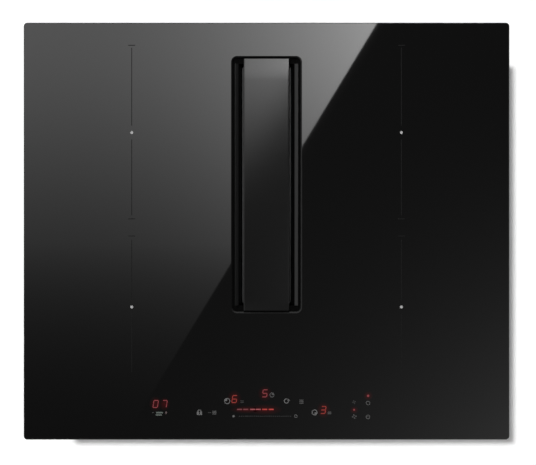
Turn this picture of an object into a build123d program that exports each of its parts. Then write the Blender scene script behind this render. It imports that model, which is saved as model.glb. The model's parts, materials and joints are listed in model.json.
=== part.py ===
from build123d import *
import os
from math import acos, atan2, cos, degrees, radians, sin

# Downdraft induction cooktop, 60 cm wide, in millimetres.
# The origin is the centre of the plane where the seal rests on the worktop.
# +Z is up, +X to the right, +Y to the back; the controls are at the front, on the -Y side.

# ---------------------------------------------------------------- driving dimensions

# glass and seal
glass_width = 600.0
glass_depth = 515.0
glass_thick = 4.0
glass_corner = 4.5
glass_bevel = 0.8
seal_thick = 2.0
seal_width = 10.0
seal_inset = 1.5
cutout_lap_side = 20.0
cutout_lap_end = 12.5
cutout_gap = 2.0

# aperture in the glass, and the intake frame that fills it
aperture_width = 86.0
aperture_length = 316.0
aperture_corner = 6.5
aperture_margin = 42.0
gasket_thick = 0.5
gasket_width = 8.0
frame_lap = 12.0
frame_plate = 1.8
frame_skirt = 2.0
skirt_depth = 8.0
ridge_gap = 3.0
ridge_width = 3.5
ridge_drop = 1.0
ridge_round = 1.4
lip_run = 5.0
lip_drop = 11.0
ledge_length = 8.6
ledge_thick = 2.0
ledge_lap = 4.0

# flap over the intake
slot_width = 8.1
flap_end_gap = 2.2
flap_thick = 6.0
flap_crown = 1.4
flap_skin = 2.0
flap_round = 2.6
flap_lip_gap = 0.5
pad_play = 0.2

# grease filter and drip tray
well_play = 1.5
well_end_play = 2.4
filter_drop = 8.0
filter_rim = 5.0
filter_rim_thick = 2.0
filter_end_plate = 2.0
filter_corner = 3.0
filter_height = 78.0
filter_taper = 10.0
filter_rail = 4.0
baffle_thick = 2.6
baffle_play = 3.0
baffle_foot_play = 1.0
baffle_slot = 5.0
baffle_pitch = 14.0
baffle_edge = 8.0
grip_width = 16.0
grip_height = 6.0
grip_strap = 2.0
tray_wall = 1.5
tray_end_wall = 3.0
tray_height = 19.0
tray_side_height = 11.0
tray_corner = 3.0

# sheet-steel casing
casing_sheet = 1.0
casing_depth = 59.0
casing_lip = 10.0
panel_play = 0.3
panel_screw_inset = 40.0
vent_length = 60.0
vent_width = 4.0
vent_pitch = 9.0
vent_count = 7
outlet_slot_width = 5.0
outlet_slot_height = 30.0
outlet_slot_pitch = 10.0
outlet_slot_count = 11
bead_width = 10.0
bead_length = 100.0
bead_height = 1.5
bead_corner = 3.0
bead_pitch = 32.0
bead_gap = 11.0
beads_left = 3
beads_right = 7

# cooking zones: coils, carriers and what holds them
zone_margin_side = 40.5
zone_margin_inner = 30.5
zone_margin_rear = 35.8
zone_margin_front = 80.9
zone_gap = 32.3
coil_front_length = 166.0
coil_band = 66.0
coil_corner = 60.0
coil_eye_flat = 1.0
coil_thick = 4.0
mica_thick = 0.5
mica_lap = 1.0
ferrite_length = 52.0
ferrite_width = 11.0
ferrite_thick = 4.0
ferrite_inner = 27.0
ferrite_count = 8
carrier_sheet = 1.5
carrier_margin = 6.0
carrier_lip = 8.0
post_side = 14.0
post_pad = 6.0
post_inset = 12.0

# power electronics under the carriers
board_thick = 1.6
board_gap = 5.0
board_length = 220.0
standoff_height = 10.0
standoff_width = 7.0
standoff_inset = 8.0
sink_width = 60.0
sink_base = 4.0
sink_height = 24.0
sink_fin = 1.5
sink_fins = 8
sink_inset = 14.0
capacitor_side = 26.0
capacitor_height = 18.0
choke_radius = 15.0
choke_height = 16.0
mains_inset = 5.0
mains_length = 40.0
mains_gap = 6.0
mains_margin = 31.0

# cooling fans
fan_side = 80.0
fan_height = 20.0
fan_bore = 37.0
fan_gap = 25.0
fan_hub = 14.0
fan_hub_height = 4.0
fan_strut = 4.0
fan_struts = 3
fan_root_lap = 1.0
fan_tip_play = 2.0
fan_top_play = 1.5
fan_blade_thick = 1.4
fan_blade_chord = 19.0
fan_blade_pitch = 38.0
fan_blades = 5
fan_pin = 2.0
running_play = 0.05

# controls behind the glass
control_width = 294.0
control_length = 48.0
control_shift = -5.0
control_margin = 25.5
control_drop = 3.0
control_tray_height = 10.0
control_wall = 2.0
control_leg = 10.0
display_depth = 14.0
touch_pad = 7.0

# from the control board's left front corner: middle and width of each display, middles of the touch springs
display_places = [(20.0, 18.5, 26.0), (110.5, 25.0, 14.0), (147.5, 32.5, 14.0), (221.5, 10.0, 14.0)]
touch_front_y = 8.0
touch_front_x = [68.0, 86.0, 122.0, 142.0, 162.0, 190.0, 236.0, 260.0, 276.0]
touch_back_y = 22.0
touch_back_x = [176.0, 194.0]

# mains connection
terminal_margin_side = 38.0
terminal_margin_rear = 28.0
terminal_width = 70.0
terminal_length = 74.0
terminal_depth = 30.0
terminal_wall = 2.0
block_pole = 10.0
block_poles = 5
block_depth = 22.0
block_height = 15.0
block_notch = 6.0
block_step = 7.5
block_well = 4.5
gland_bore = 5.0
gland_body = 8.0
gland_hex = 11.0
gland_hex_length = 5.0
gland_nut_length = 14.0
gland_nut_radius = 9.5
gland_nut_taper = 2.0
gland_lock_length = 4.0

# air channel and plenum
channel_play = 0.3
channel_wall = 2.0
channel_flange = 10.0
plenum_width = 200.0
plenum_reach_front = 80.0
plenum_reach_back = 15.3
plenum_depth = 53.0
plenum_wall = 2.5
plenum_flange = 12.0
gusset_head = 9.0
gusset_foot = 3.0
gusset_thick = 2.5
gusset_pitch = 44.0
rib_width = 6.0
rib_play = 1.0
rib_post = 3.0
rib_post_height = 9.0
rib_rear_gap = 16.0
rib_front_gap = 24.5

# blower
blower_margin = 148.0
impeller_radius = 93.0
blade_depth = 17.0
blade_arc = 12.0
blade_thick = 1.1
blade_count = 28
blade_height = 60.0
impeller_disc = 2.5
impeller_gap = 9.0
hub_radius = 50.0
hub_rise = 28.0
scroll_gap = 9.0
scroll_step = 14.0
tongue_angle = 62.0
tongue_nose = 5.0
notch_angle = 110.0
volute_wall = 2.5
volute_height = 96.0
volute_flange = 8.0
volute_margin = 38.0
diffuser_length = 85.0
flare_length = 125.0
inlet_radius = 64.0
inlet_flare = 6.0
inlet_lap = 4.0
inlet_sheet = 1.5
inlet_lip = 8.0
shaft_radius = 4.0
bearing_radius = 11.0
bearing_width = 7.0
rotor_wall = 3.0
rotor_height = 34.0
magnet_gap = 1.0
rotor_ring_play = 0.8
stator_height = 20.0
stator_slots = 12
stator_slot = 7.0
stator_slot_depth = 12.0
stator_boss = 16.0
stator_top_gap = 1.5
stator_end_turns = 2.0
bearing_inset = 2.0
bush_radius = 7.0
bush_height = 5.0
bush_circle = 34.0
bush_count = 3
mount_plate = 2.5
mount_margin = 4.0
bush_margin = 2.0

# outlet
spigot_width = 218.0
spigot_height = 85.0
spigot_wall = 2.0
spigot_length = 34.5
spigot_corner = 6.0
spigot_x = 45.0
spigot_flange = 11.0
spigot_flange_rise = 4.0
spigot_plate = 2.5
outlet_gasket_thick = 3.0

# blower control box
driver_width = 104.0
driver_length = 110.0
driver_depth = 38.0
driver_wall = 2.0
driver_gap = 6.0
driver_rear_gap = 11.0
driver_rib = 3.0
driver_ribs = 5

# worktop fixing brackets and their bolts
bracket_width = 30.0
bracket_sheet = 2.0
bracket_lip = 8.0
bracket_foot = 30.0
bracket_margin = 53.0
bracket_reach = 3.0
bolt_inset = 12.0
bolt_radius = 3.0
worktop = 30.0
bolt_length = 58.0
bolt_pad_radius = 7.0
bolt_pad_height = 4.0
bolt_head_radius = 6.0
bolt_head_height = 6.0

# screws
screw_radius = 1.75
screw_hole_play = 0.15
screw_head_radius = 3.6
screw_head_height = 2.2

# screws through the volute's rim, round the scroll and along the diffuser
scroll_screw_angles = [135.0, 195.0, 240.0, 300.0]
rim_screw_front = 20.0
rim_screw_rear = 30.0
rim_screw_knee = 15.0

# ---------------------------------------------------------------- levels and places

glass_low = seal_thick
glass_high = seal_thick + glass_thick
cutout_width = glass_width - 2 * cutout_lap_side
cutout_depth = glass_depth - 2 * cutout_lap_end
casing_width = cutout_width - 2 * cutout_gap
casing_length = cutout_depth - 2 * cutout_gap
casing_top = glass_low
casing_low = casing_top - casing_depth
floor_top = casing_low + casing_sheet
side_inner = casing_width / 2 - casing_sheet
end_inner = casing_length / 2 - casing_sheet

aperture_y = glass_depth / 2 - aperture_margin - aperture_length / 2
frame_top = glass_low - gasket_thick
frame_low = frame_top - frame_plate
ledge_top = glass_high - flap_thick
ledge_low = ledge_top - ledge_thick
ridge_span = aperture_width - 2 * (ridge_gap + ridge_width)
ridge_high = glass_high - ridge_drop
lip_low = ridge_high - lip_drop
well_width = ridge_span - 2 * lip_run
well_length = aperture_length - 2 * ledge_length
flap_width = ridge_span - 2 * slot_width
skirt_low = lip_low - skirt_depth
channel_width = well_width + 2 * (frame_skirt + channel_play)
channel_length = well_length + 2 * (frame_skirt + channel_play)

filter_width = well_width - 2 * well_play
filter_length = well_length - 2 * well_end_play
filter_foot = filter_width / 2 - filter_taper
filter_high = glass_low - filter_drop - seal_thick
filter_low = filter_high - filter_height
rim_low = filter_high - filter_rim_thick
tray_low = filter_low - tray_height

coil_width = glass_width / 2 - zone_margin_side - aperture_width / 2 - zone_margin_inner
coil_rear_length = glass_depth - zone_margin_rear - zone_margin_front - zone_gap - coil_front_length
zone_x = glass_width / 2 - zone_margin_side - coil_width / 2
zone_rear_y = glass_depth / 2 - zone_margin_rear - coil_rear_length / 2
zone_front_y = zone_margin_front - glass_depth / 2 + coil_front_length / 2
coil_high = glass_low - mica_thick
coil_low = coil_high - coil_thick
carrier_width = coil_width + 2 * carrier_margin
carrier_back = zone_rear_y + coil_rear_length / 2 + carrier_margin
carrier_front = zone_front_y - coil_front_length / 2 - carrier_margin / 2
carrier_length = carrier_back - carrier_front
carrier_y = (carrier_back + carrier_front) / 2
carrier_high = coil_low - ferrite_thick
carrier_low = carrier_high - carrier_sheet
pad_low = carrier_low - post_pad

board_low = floor_top + standoff_height
board_high = board_low + board_thick
board_width = carrier_width - 2 * (post_inset + post_side / 2 + board_gap)
mains_width = board_width - 2 * mains_inset
mains_y = end_inner - mains_margin - mains_length / 2
board_y = mains_y - mains_length / 2 - mains_gap - board_length / 2
fan_y = board_y - board_length / 2 - fan_gap - fan_side / 2

control_y = control_margin - glass_depth / 2 + control_length / 2
control_high = glass_low - control_drop
control_low = control_high - board_thick
touch_places = [(x, touch_front_y) for x in touch_front_x] + [(x, touch_back_y) for x in touch_back_x]

terminal_x = terminal_margin_side + terminal_width / 2 - casing_width / 2
terminal_y = casing_length / 2 - terminal_margin_rear - terminal_length / 2
terminal_low = casing_low - terminal_depth
gland_z = casing_low - terminal_depth / 2

blower_y = blower_margin - casing_length / 2
plenum_back = aperture_y + channel_length / 2 + plenum_reach_back
plenum_front = blower_y - plenum_reach_front
plenum_low = casing_low - plenum_depth
plenum_floor = plenum_low + plenum_wall
plenum_length = plenum_back - plenum_front
plenum_y = (plenum_back + plenum_front) / 2
inlet_hole = inlet_radius + inlet_flare
inlet_flange = inlet_hole + inlet_lap
blade_root_radius = impeller_radius - blade_depth
scroll_start = impeller_radius + scroll_gap
volute_top_low = plenum_low - volute_wall
volute_low = plenum_low - volute_height
volute_floor = volute_low + volute_wall
volute_rear = casing_length / 2 - volute_margin
diffuser_start = volute_rear - diffuser_length
flare_end = blower_y + flare_length
impeller_high = volute_top_low - impeller_gap
blade_low = impeller_high - impeller_disc - blade_height
disc_low = blade_low - impeller_disc
hub_high = blade_low + hub_rise
rotor_high = hub_high - impeller_disc
rotor_radius = hub_radius - impeller_disc - rotor_ring_play
mount_low = volute_floor + bush_height
mount_high = mount_low + mount_plate
outlet_z = (volute_low + volute_top_low) / 2
rear_half = spigot_width / 2 + spigot_flange
wall_right = spigot_x + rear_half - volute_wall
wall_left = spigot_x - rear_half + volute_wall

driver_x = -(plenum_width / 2 + plenum_flange + driver_gap + driver_width / 2)
driver_y = terminal_y - terminal_length / 2 - driver_rear_gap - driver_length / 2
bracket_y = casing_length / 2 - bracket_margin
bolt_x = glass_width / 2 - bolt_inset

BUILT = {}


# ---------------------------------------------------------------- helpers

def raised(outline, low, high):
    """A flat outline in the plane z = 0, made solid between two heights."""
    return extrude(Pos(0, 0, low) * outline, high - low, dir=(0, 0, 1))


def slab(width, depth, low, high, x=0.0, y=0.0, corner=0.0):
    """A block between two heights, with upright edges rounded if a corner radius is given."""
    outline = RectangleRounded(width, depth, corner) if corner else Rectangle(width, depth)
    return raised(Pos(x, y) * outline, low, high)


def drum(radius, low, high, x=0.0, y=0.0):
    """An upright cylinder between two heights."""
    return raised(Pos(x, y) * Circle(radius), low, high)


def hexagon(radius, low, high, x=0.0, y=0.0):
    """An upright six-sided bar between two heights."""
    return raised(Pos(x, y) * RegularPolygon(radius, 6), low, high)


def ring(outer, inner, low, high, x=0.0, y=0.0, outer_corner=0.0, inner_corner=0.0):
    """A flat rectangular ring; outer and inner are (width, depth)."""
    body = slab(*outer, low, high, x, y, outer_corner)
    return body - slab(*inner, low, high, x, y, inner_corner)


def run_along_y(profile, start, stop):
    """An (x, z) profile carried along Y from start to stop."""
    return extrude(Plane.XZ.offset(-start) * profile, stop - start, dir=(0, 1, 0))


def run_along_x(profile, start, stop):
    """A (y, z) profile carried along X from start to stop."""
    return extrude(Plane.YZ.offset(start) * profile, stop - start, dir=(1, 0, 0))


def shape_of(*points):
    """A flat face through the points."""
    return Polygon(*points, align=None)


def group(shapes):
    """Separate solids kept together as one node."""
    return Compound([solid for shape in shapes for solid in shape.solids()])


def keep(name, shape):
    """Store one node."""
    BUILT[name] = shape


def screw_up(x, y, head_top, tip):
    """A hexagon-headed screw driven upwards: its head is under head_top and its shank ends at tip."""
    head = hexagon(screw_head_radius, head_top - screw_head_height, head_top, x, y)
    return head + hexagon(screw_radius, head_top, tip, x, y)


def screw_holes(places, low, high):
    """Clearance holes for screws at the places."""
    return [hexagon(screw_radius + screw_hole_play, low, high, x, y) for x, y in places]


# ---------------------------------------------------------------- glass, seal and intake

def make_glass_top():
    plate = slab(glass_width, glass_depth, glass_low, glass_high, corner=glass_corner)
    aperture = (aperture_width, aperture_length)
    plate -= slab(*aperture, glass_low, glass_high, y=aperture_y, corner=aperture_corner)
    rims = plate.faces().sort_by(Axis.Z)[-1].edges()
    return chamfer(rims, glass_bevel)


def make_seal_strip():
    outer = (glass_width - 2 * seal_inset, glass_depth - 2 * seal_inset)
    inner = (outer[0] - 2 * seal_width, outer[1] - 2 * seal_width)
    return ring(outer, inner, 0, seal_thick, outer_corner=glass_corner)


def make_frame_gasket():
    inner = (aperture_width, aperture_length)
    outer = (inner[0] + 2 * gasket_width, inner[1] + 2 * gasket_width)
    corner = aperture_corner
    return ring(outer, inner, frame_top, glass_low, y=aperture_y, outer_corner=corner, inner_corner=corner)


def make_intake_frame():
    """Plate under the glass, ledges that carry the flap, ridges with sloping lips, and a skirt."""
    outer = (aperture_width + 2 * frame_lap, aperture_length + 2 * frame_lap)
    window = (ridge_span, aperture_length)
    frame = ring(outer, window, frame_low, frame_top, y=aperture_y, outer_corner=glass_corner)
    skirt = (well_width + 2 * frame_skirt, well_length + 2 * frame_skirt)
    frame += ring(skirt, (well_width, well_length), skirt_low, lip_low, y=aperture_y)
    ledge_width = ridge_span + 2 * frame_skirt
    ledge_out = aperture_length / 2 + ledge_lap
    ledge_in = well_length / 2
    for side in (-1, 1):
        middle = aperture_y + side * (ledge_out + ledge_in) / 2
        frame += slab(ledge_width, ledge_out - ledge_in, ledge_low, ledge_top, y=middle)
        end_wall = aperture_y + side * (ledge_in + frame_skirt / 2)
        frame += slab(ledge_width, frame_skirt, lip_low, ledge_low, y=end_wall)
    inner = ridge_span / 2
    foot = well_width / 2
    outline = shape_of(
        (inner + ridge_width, frame_low), (inner + ridge_width, ridge_high), (inner, ridge_high),
        (foot, lip_low), (foot + frame_skirt, lip_low), (inner, frame_low),
    )
    outline = fillet(outline.vertices().group_by(Axis.Y)[-1], ridge_round)
    ridge = run_along_y(outline, aperture_y - ledge_in, aperture_y + ledge_in)
    return frame + ridge + mirror(ridge, Plane.YZ)


def make_flap():
    """A shallow tray turned upside down, crowned across its width, with rounded long edges."""
    low = ledge_top + flap_lip_gap
    length = aperture_length - 2 * flap_end_gap
    half = flap_width / 2
    left, right = (-half, glass_high - flap_crown), (half, glass_high - flap_crown)
    crown = ThreePointArc(left, (0, glass_high), right)
    sides = [Line(right, (half, low)), Line((half, low), (-half, low)), Line((-half, low), left)]
    outline = make_face(Wire([crown] + sides))
    outline = fillet(outline.vertices().group_by(Axis.Y)[-1], flap_round)
    body = run_along_y(outline, aperture_y - length / 2, aperture_y + length / 2)
    inside = (flap_width - 2 * flap_skin, length - 2 * flap_skin)
    return body - slab(*inside, low, glass_high - flap_skin - flap_lip_gap, y=aperture_y)


def make_flap_pads():
    """Soft blocks in both ends of the flap, standing on the ledges."""
    outer = aperture_length / 2 - flap_end_gap - flap_skin
    inner = well_length / 2 + pad_play
    top = glass_high - flap_skin - flap_lip_gap
    width = flap_width - 2 * (flap_skin + pad_play)
    pads = []
    for side in (-1, 1):
        middle = aperture_y + side * (outer + inner) / 2
        pads.append(slab(width, outer - inner, ledge_top, top, y=middle))
    return group(pads)


# ---------------------------------------------------------------- filter and drip tray

def make_filter_frame():
    """Top rim, two tapered end plates and a bottom rail."""
    outer = (filter_width, filter_length)
    inner = (filter_width - 2 * filter_rim, filter_length - 2 * filter_rim)
    frame = ring(outer, inner, rim_low, filter_high, y=aperture_y, outer_corner=filter_corner)
    top = filter_width / 2 - filter_corner
    end = shape_of((-top, rim_low), (-filter_foot, filter_low), (filter_foot, filter_low), (top, rim_low))
    half = filter_length / 2
    frame += run_along_y(end, aperture_y - half, aperture_y - half + filter_end_plate)
    frame += run_along_y(end, aperture_y + half - filter_end_plate, aperture_y + half)
    frame += slab(2 * filter_foot, filter_length, filter_low, filter_low + filter_rail, y=aperture_y)
    return frame


def make_filter_baffles():
    """Two leaning panels with upright slots, between the end plates."""
    low = filter_low + filter_rail
    top_out = filter_width / 2 - baffle_play
    foot_out = filter_foot - baffle_foot_play
    half = filter_length / 2 - filter_end_plate
    lean = shape_of(
        (top_out, rim_low), (top_out - baffle_thick, rim_low), (foot_out - baffle_thick, low), (foot_out, low)
    )
    panel = run_along_y(lean, aperture_y - half, aperture_y + half)
    count = int(2 * (half - baffle_edge) // baffle_pitch)
    slots = []
    for index in range(count):
        middle = aperture_y + (index - (count - 1) / 2) * baffle_pitch
        slots.append(slab(filter_width, baffle_slot, low + baffle_edge, rim_low - baffle_edge, y=middle))
    panel -= slots
    return group([panel, mirror(panel, Plane.YZ)])


def make_filter_grip():
    """A low bridge across the rim for a finger."""
    half = filter_width / 2 - grip_strap
    top = filter_high + grip_height
    profile = shape_of(
        (-half, filter_high), (-half, top), (half, top), (half, filter_high),
        (half - grip_strap, filter_high), (half - grip_strap, top - grip_strap),
        (grip_strap - half, top - grip_strap), (grip_strap - half, filter_high),
    )
    return run_along_y(profile, aperture_y - grip_width / 2, aperture_y + grip_width / 2)


def make_drip_tray():
    """A trough whose end walls carry the filter and whose low sides let the air out."""
    tray = slab(filter_width, filter_length, tray_low, filter_low, y=aperture_y, corner=tray_corner)
    inside = (filter_width - 2 * tray_wall, filter_length - 2 * tray_end_wall)
    tray -= slab(*inside, tray_low + tray_wall, filter_low, y=aperture_y)
    gap = filter_length - 2 * tray_end_wall
    tray -= slab(filter_width, gap, tray_low + tray_side_height, filter_low, y=aperture_y)
    return tray


# ---------------------------------------------------------------- casing

def panel_screw_places():
    """Screws under the floor that hold the front and rear panels."""
    outer = casing_width / 2 - panel_screw_inset
    inner = plenum_width / 2 + panel_screw_inset
    along = end_inner - casing_lip / 2
    return [(x, side * along) for side in (-1, 1) for x in (-outer, -inner, inner, outer)]


def vent_slots(low, high):
    """Two fields of slots under the cooling fans."""
    field = []
    for side in (-1, 1):
        for index in range(vent_count):
            across = side * zone_x + (index - (vent_count - 1) / 2) * vent_pitch
            field.append(slab(vent_width, vent_length, low, high, across, fan_y))
    return field


def outlet_slots():
    """Two fields of upright slots in the rear panel, where the fans' air leaves."""
    middle = (casing_low + casing_top) / 2
    low = middle - outlet_slot_height / 2
    high = middle + outlet_slot_height / 2
    y = end_inner + casing_sheet / 2
    field = []
    for side in (-1, 1):
        for index in range(outlet_slot_count):
            across = side * zone_x + (index - (outlet_slot_count - 1) / 2) * outlet_slot_pitch
            field.append(slab(outlet_slot_width, casing_sheet, low, high, across, y))
    return field


def bead(thinner, low):
    """A strip with cut corners, from low up to the top of the floor, smaller all round by thinner."""
    outline = Rectangle(bead_length - 2 * thinner, bead_width - 2 * thinner)
    return raised(chamfer(outline.vertices(), bead_corner), low, floor_top)


def press_beads(base):
    """Stiffening beads pressed down in the floor, in a row behind each cooling fan."""
    first = fan_y + fan_side / 2 + bead_gap + bead_width / 2
    low = casing_low - bead_height
    for side, count in ((-1, beads_left), (1, beads_right)):
        for index in range(count):
            place = Pos(side * zone_x, first + index * bead_pitch, 0)
            base += place * bead(0, low)
            base -= place * bead(casing_sheet, low + casing_sheet)
    return base


def make_casing_base():
    """Floor with side walls folded up and lips folded in under the glass."""
    base = slab(casing_width, casing_length, casing_low, floor_top)
    for side in (-1, 1):
        wall = (casing_width - casing_sheet) / 2
        base += slab(casing_sheet, casing_length, casing_low, casing_top, x=side * wall)
        lip = (casing_width - casing_lip) / 2
        base += slab(casing_lip, casing_length, casing_top - casing_sheet, casing_top, x=side * lip)
    base -= slab(channel_width, channel_length, casing_low, floor_top, y=aperture_y)
    base -= vent_slots(casing_low, floor_top)
    base -= screw_holes(panel_screw_places(), casing_low, floor_top)
    return press_beads(base)


def make_end_panel(side):
    """Front or rear panel: a channel with a lip under the glass and one on the floor; the rear has slots."""
    length = 2 * (side_inner - panel_play)
    outer = end_inner + casing_sheet
    inner = outer - casing_sheet
    reach = inner - casing_lip
    lip_low = casing_top - casing_sheet
    profile = shape_of(
        (side * outer, floor_top), (side * outer, casing_top),
        (side * reach, casing_top), (side * reach, lip_low),
        (side * inner, lip_low), (side * inner, floor_top + casing_sheet),
        (side * reach, floor_top + casing_sheet), (side * reach, floor_top),
    )
    panel = run_along_x(profile, -length / 2, length / 2)
    corner_gap = casing_lip + panel_play
    for end in (-1, 1):
        across = end * (length / 2)
        panel -= slab(2 * corner_gap, 2 * casing_length, lip_low, casing_top, x=across)
    places = [place for place in panel_screw_places() if place[1] * side > 0]
    panel -= screw_holes(places, floor_top, floor_top + casing_sheet)
    return panel - outlet_slots() if side > 0 else panel


# ---------------------------------------------------------------- cooking zones

def make_coil(side, y, length):
    """One flat winding: a rounded rectangular band."""
    inner = (coil_width - 2 * coil_band, length - 2 * coil_band)
    inner_corner = min(inner) / 2 - coil_eye_flat
    return ring(
        (coil_width, length), inner, coil_low, coil_high, side * zone_x, y,
        outer_corner=coil_corner, inner_corner=inner_corner,
    )


def make_mica_sheets():
    sheets = []
    for side in (-1, 1):
        for y, length in ((zone_rear_y, coil_rear_length), (zone_front_y, coil_front_length)):
            size = (coil_width + 2 * mica_lap, length + 2 * mica_lap)
            outline = Rectangle(*size)
            outline = chamfer(outline.vertices(), coil_corner / 2)
            sheets.append(raised(Pos(side * zone_x, y) * outline, coil_high, glass_low))
    return group(sheets)


def make_ferrite_bars():
    bars = []
    for side in (-1, 1):
        for y in (zone_rear_y, zone_front_y):
            for index in range(ferrite_count):
                along = ferrite_inner + ferrite_length / 2
                bar = slab(ferrite_length, ferrite_width, carrier_high, coil_low, x=along)
                turn = 360 / ferrite_count * index
                bars.append(Pos(side * zone_x, y, 0) * Rot(0, 0, turn) * bar)
    return group(bars)


def make_coil_carrier(side):
    """A plate with a lip folded down all round."""
    x = side * zone_x
    plate = slab(carrier_width, carrier_length, carrier_low, carrier_high, x, carrier_y)
    inner = (carrier_width - 2 * carrier_sheet, carrier_length - 2 * carrier_sheet)
    lip = ring((carrier_width, carrier_length), inner, carrier_high - carrier_lip, carrier_low, x, carrier_y)
    return plate + lip


def post_places():
    """Under the corners of both carriers."""
    across = carrier_width / 2 - post_inset
    along = carrier_length / 2 - post_inset
    places = []
    for side in (-1, 1):
        for a in (-across, across):
            for b in (-along, along):
                places.append((side * zone_x + a, carrier_y + b))
    return places


def make_carrier_posts():
    return group([slab(post_side, post_side, floor_top, pad_low, x, y) for x, y in post_places()])


def make_carrier_pads():
    return group([slab(post_side, post_side, pad_low, carrier_low, x, y) for x, y in post_places()])


# ---------------------------------------------------------------- electronics

def board_corners(x, y, width, length):
    """Where the standoffs are, near the corners of a board."""
    across = width / 2 - standoff_inset
    along = length / 2 - standoff_inset
    return [(x + a, y + b) for a in (-across, across) for b in (-along, along)]


def make_board_standoffs():
    places = board_corners(-zone_x, board_y, board_width, board_length)
    places += board_corners(zone_x, board_y, board_width, board_length)
    places += board_corners(-zone_x, mains_y, mains_width, mains_length)
    return group([hexagon(standoff_width / 2, floor_top, board_low, x, y) for x, y in places])


def sink_x(side):
    """Middle of a heat sink, on the inner half of its board."""
    return side * (zone_x - board_width / 2 + sink_inset + sink_width / 2)


def make_inverter_board(side):
    """A board with two film capacitors and a choke beside its heat sink."""
    board = slab(board_width, board_length, board_low, board_high, side * zone_x, board_y)
    x = side * (zone_x + board_width / 2 - sink_inset - capacitor_side / 2)
    spread = board_length / 2 - 2 * capacitor_side
    for end in (-1, 1):
        y = board_y + end * spread
        board += slab(capacitor_side, 2 * capacitor_side, board_high, board_high + capacitor_height, x, y)
    board += drum(choke_radius, board_high, board_high + choke_height, x, board_y)
    return board


def make_heat_sink(side):
    """A finned extrusion along the fan's air stream."""
    length = board_length - 2 * sink_inset
    low = board_high
    sink = slab(sink_width, length, low, low + sink_base, sink_x(side), board_y)
    pitch = (sink_width - sink_fin) / (sink_fins - 1)
    for index in range(sink_fins):
        x = sink_x(side) + (index - (sink_fins - 1) / 2) * pitch
        sink += slab(sink_fin, length, low + sink_base, low + sink_height, x, board_y)
    return sink


def make_mains_board():
    """The filter board behind the left inverter board, with two capacitors and a choke."""
    board = slab(mains_width, mains_length, board_low, board_high, -zone_x, mains_y)
    capacitor_top = board_high + capacitor_height
    for end in (-1, 1):
        place = end * mains_width / 4 - zone_x
        board += slab(capacitor_side, capacitor_side, board_high, capacitor_top, place, mains_y)
    board += drum(choke_radius, board_high, board_high + choke_height, -zone_x, mains_y)
    return board


def make_cooling_fan(side):
    """A square frame with a round bore, and a hub on struts."""
    x = side * zone_x
    frame = slab(fan_side, fan_side, floor_top, floor_top + fan_height, x, fan_y)
    frame -= drum(fan_bore, floor_top, floor_top + fan_height, x, fan_y)
    hub_top = floor_top + fan_hub_height
    reach = (fan_bore + fan_side / 2) / 2
    strut = slab(reach, fan_strut, floor_top, floor_top + fan_hub_height / 2, x=reach / 2)
    for index in range(fan_struts):
        turn = 360 / fan_struts * index - 90
        frame += Pos(x, fan_y, 0) * Rot(0, 0, turn) * strut
    frame += drum(fan_hub, floor_top, hub_top, x, fan_y)
    return frame - drum(fan_pin + running_play, floor_top, hub_top, x, fan_y)


def make_cooling_rotor(side):
    """A hub with pitched blades and a pin that turns in the frame's hub."""
    low = floor_top + fan_hub_height
    high = floor_top + fan_height - fan_top_play
    middle = (low + high) / 2
    hub = drum(fan_hub, low + running_play, high)
    hub += drum(fan_pin, floor_top, low + running_play)
    reach = fan_bore - fan_tip_play
    blade = Box(reach, fan_blade_chord, fan_blade_thick, align=(Align.MIN, Align.CENTER, Align.CENTER))
    blade = Pos(0, 0, middle) * Rot(side * fan_blade_pitch, 0, 0) * blade
    blade -= drum(fan_hub - fan_root_lap, floor_top, high + fan_blade_chord)
    for index in range(fan_blades):
        hub += Rot(0, 0, 360 / fan_blades * index) * blade
    return Pos(side * zone_x, fan_y, 0) * hub


# ---------------------------------------------------------------- controls

def make_control_carrier():
    """A shallow open tray on four legs that reach the casing floor."""
    low = control_low - control_tray_height
    tray = slab(control_width, control_length, low, control_low, control_shift, control_y)
    inside = (control_width - 2 * control_wall, control_length - 2 * control_wall)
    tray -= slab(*inside, low + control_wall, control_low, control_shift, control_y)
    for side in (-1, 1):
        x = control_shift + side * (control_width - control_leg) / 2
        for y in (control_y - (control_length - control_leg) / 2 + casing_lip,
                  control_y + (control_length - control_leg) / 2):
            tray += slab(control_leg, control_leg, floor_top, low, x, y)
    return tray


def make_control_board():
    return slab(control_width, control_length, control_low, control_high, control_shift, control_y)


def on_control_board(width, length, along, back):
    """A block between the control board and the glass, by its middle's place from the left front corner."""
    x = control_shift - control_width / 2 + along
    y = control_y - control_length / 2 + back
    return slab(width, length, control_high, glass_low, x, y)


def make_display_modules():
    return group([on_control_board(width, display_depth, x, y) for x, y, width in display_places])


def make_touch_pads():
    return group([on_control_board(touch_pad, touch_pad, x, y) for x, y in touch_places])


# ---------------------------------------------------------------- mains connection

def make_terminal_box():
    """An open-topped box under the casing floor, with the gland in its rear wall."""
    outside = (terminal_width, terminal_length)
    box = slab(*outside, terminal_low, casing_low, terminal_x, terminal_y, terminal_wall)
    inside = (terminal_width - 2 * terminal_wall, terminal_length - 2 * terminal_wall)
    box -= slab(*inside, terminal_low + terminal_wall, casing_low, terminal_x, terminal_y)
    wall = terminal_y + terminal_length / 2
    return box - run_along_y(Pos(terminal_x, gland_z) * Circle(gland_body), wall - terminal_wall, wall)


def make_terminal_block():
    """A row of poles on the box floor, each with a step for its screw and a well for its wire."""
    low = terminal_low + terminal_wall
    high = low + block_height
    y = terminal_y - terminal_length / 2 + terminal_wall + block_depth
    block = slab(block_pole * block_poles, block_depth, low, high, terminal_x, y)
    for index in range(block_poles):
        x = terminal_x + (index - (block_poles - 1) / 2) * block_pole
        block -= slab(block_notch, block_depth / 3, high - block_step, high, x, y + block_depth / 3)
        block -= slab(block_notch, block_depth / 3, high - block_well, high, x, y - block_depth / 4)
    return block


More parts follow.
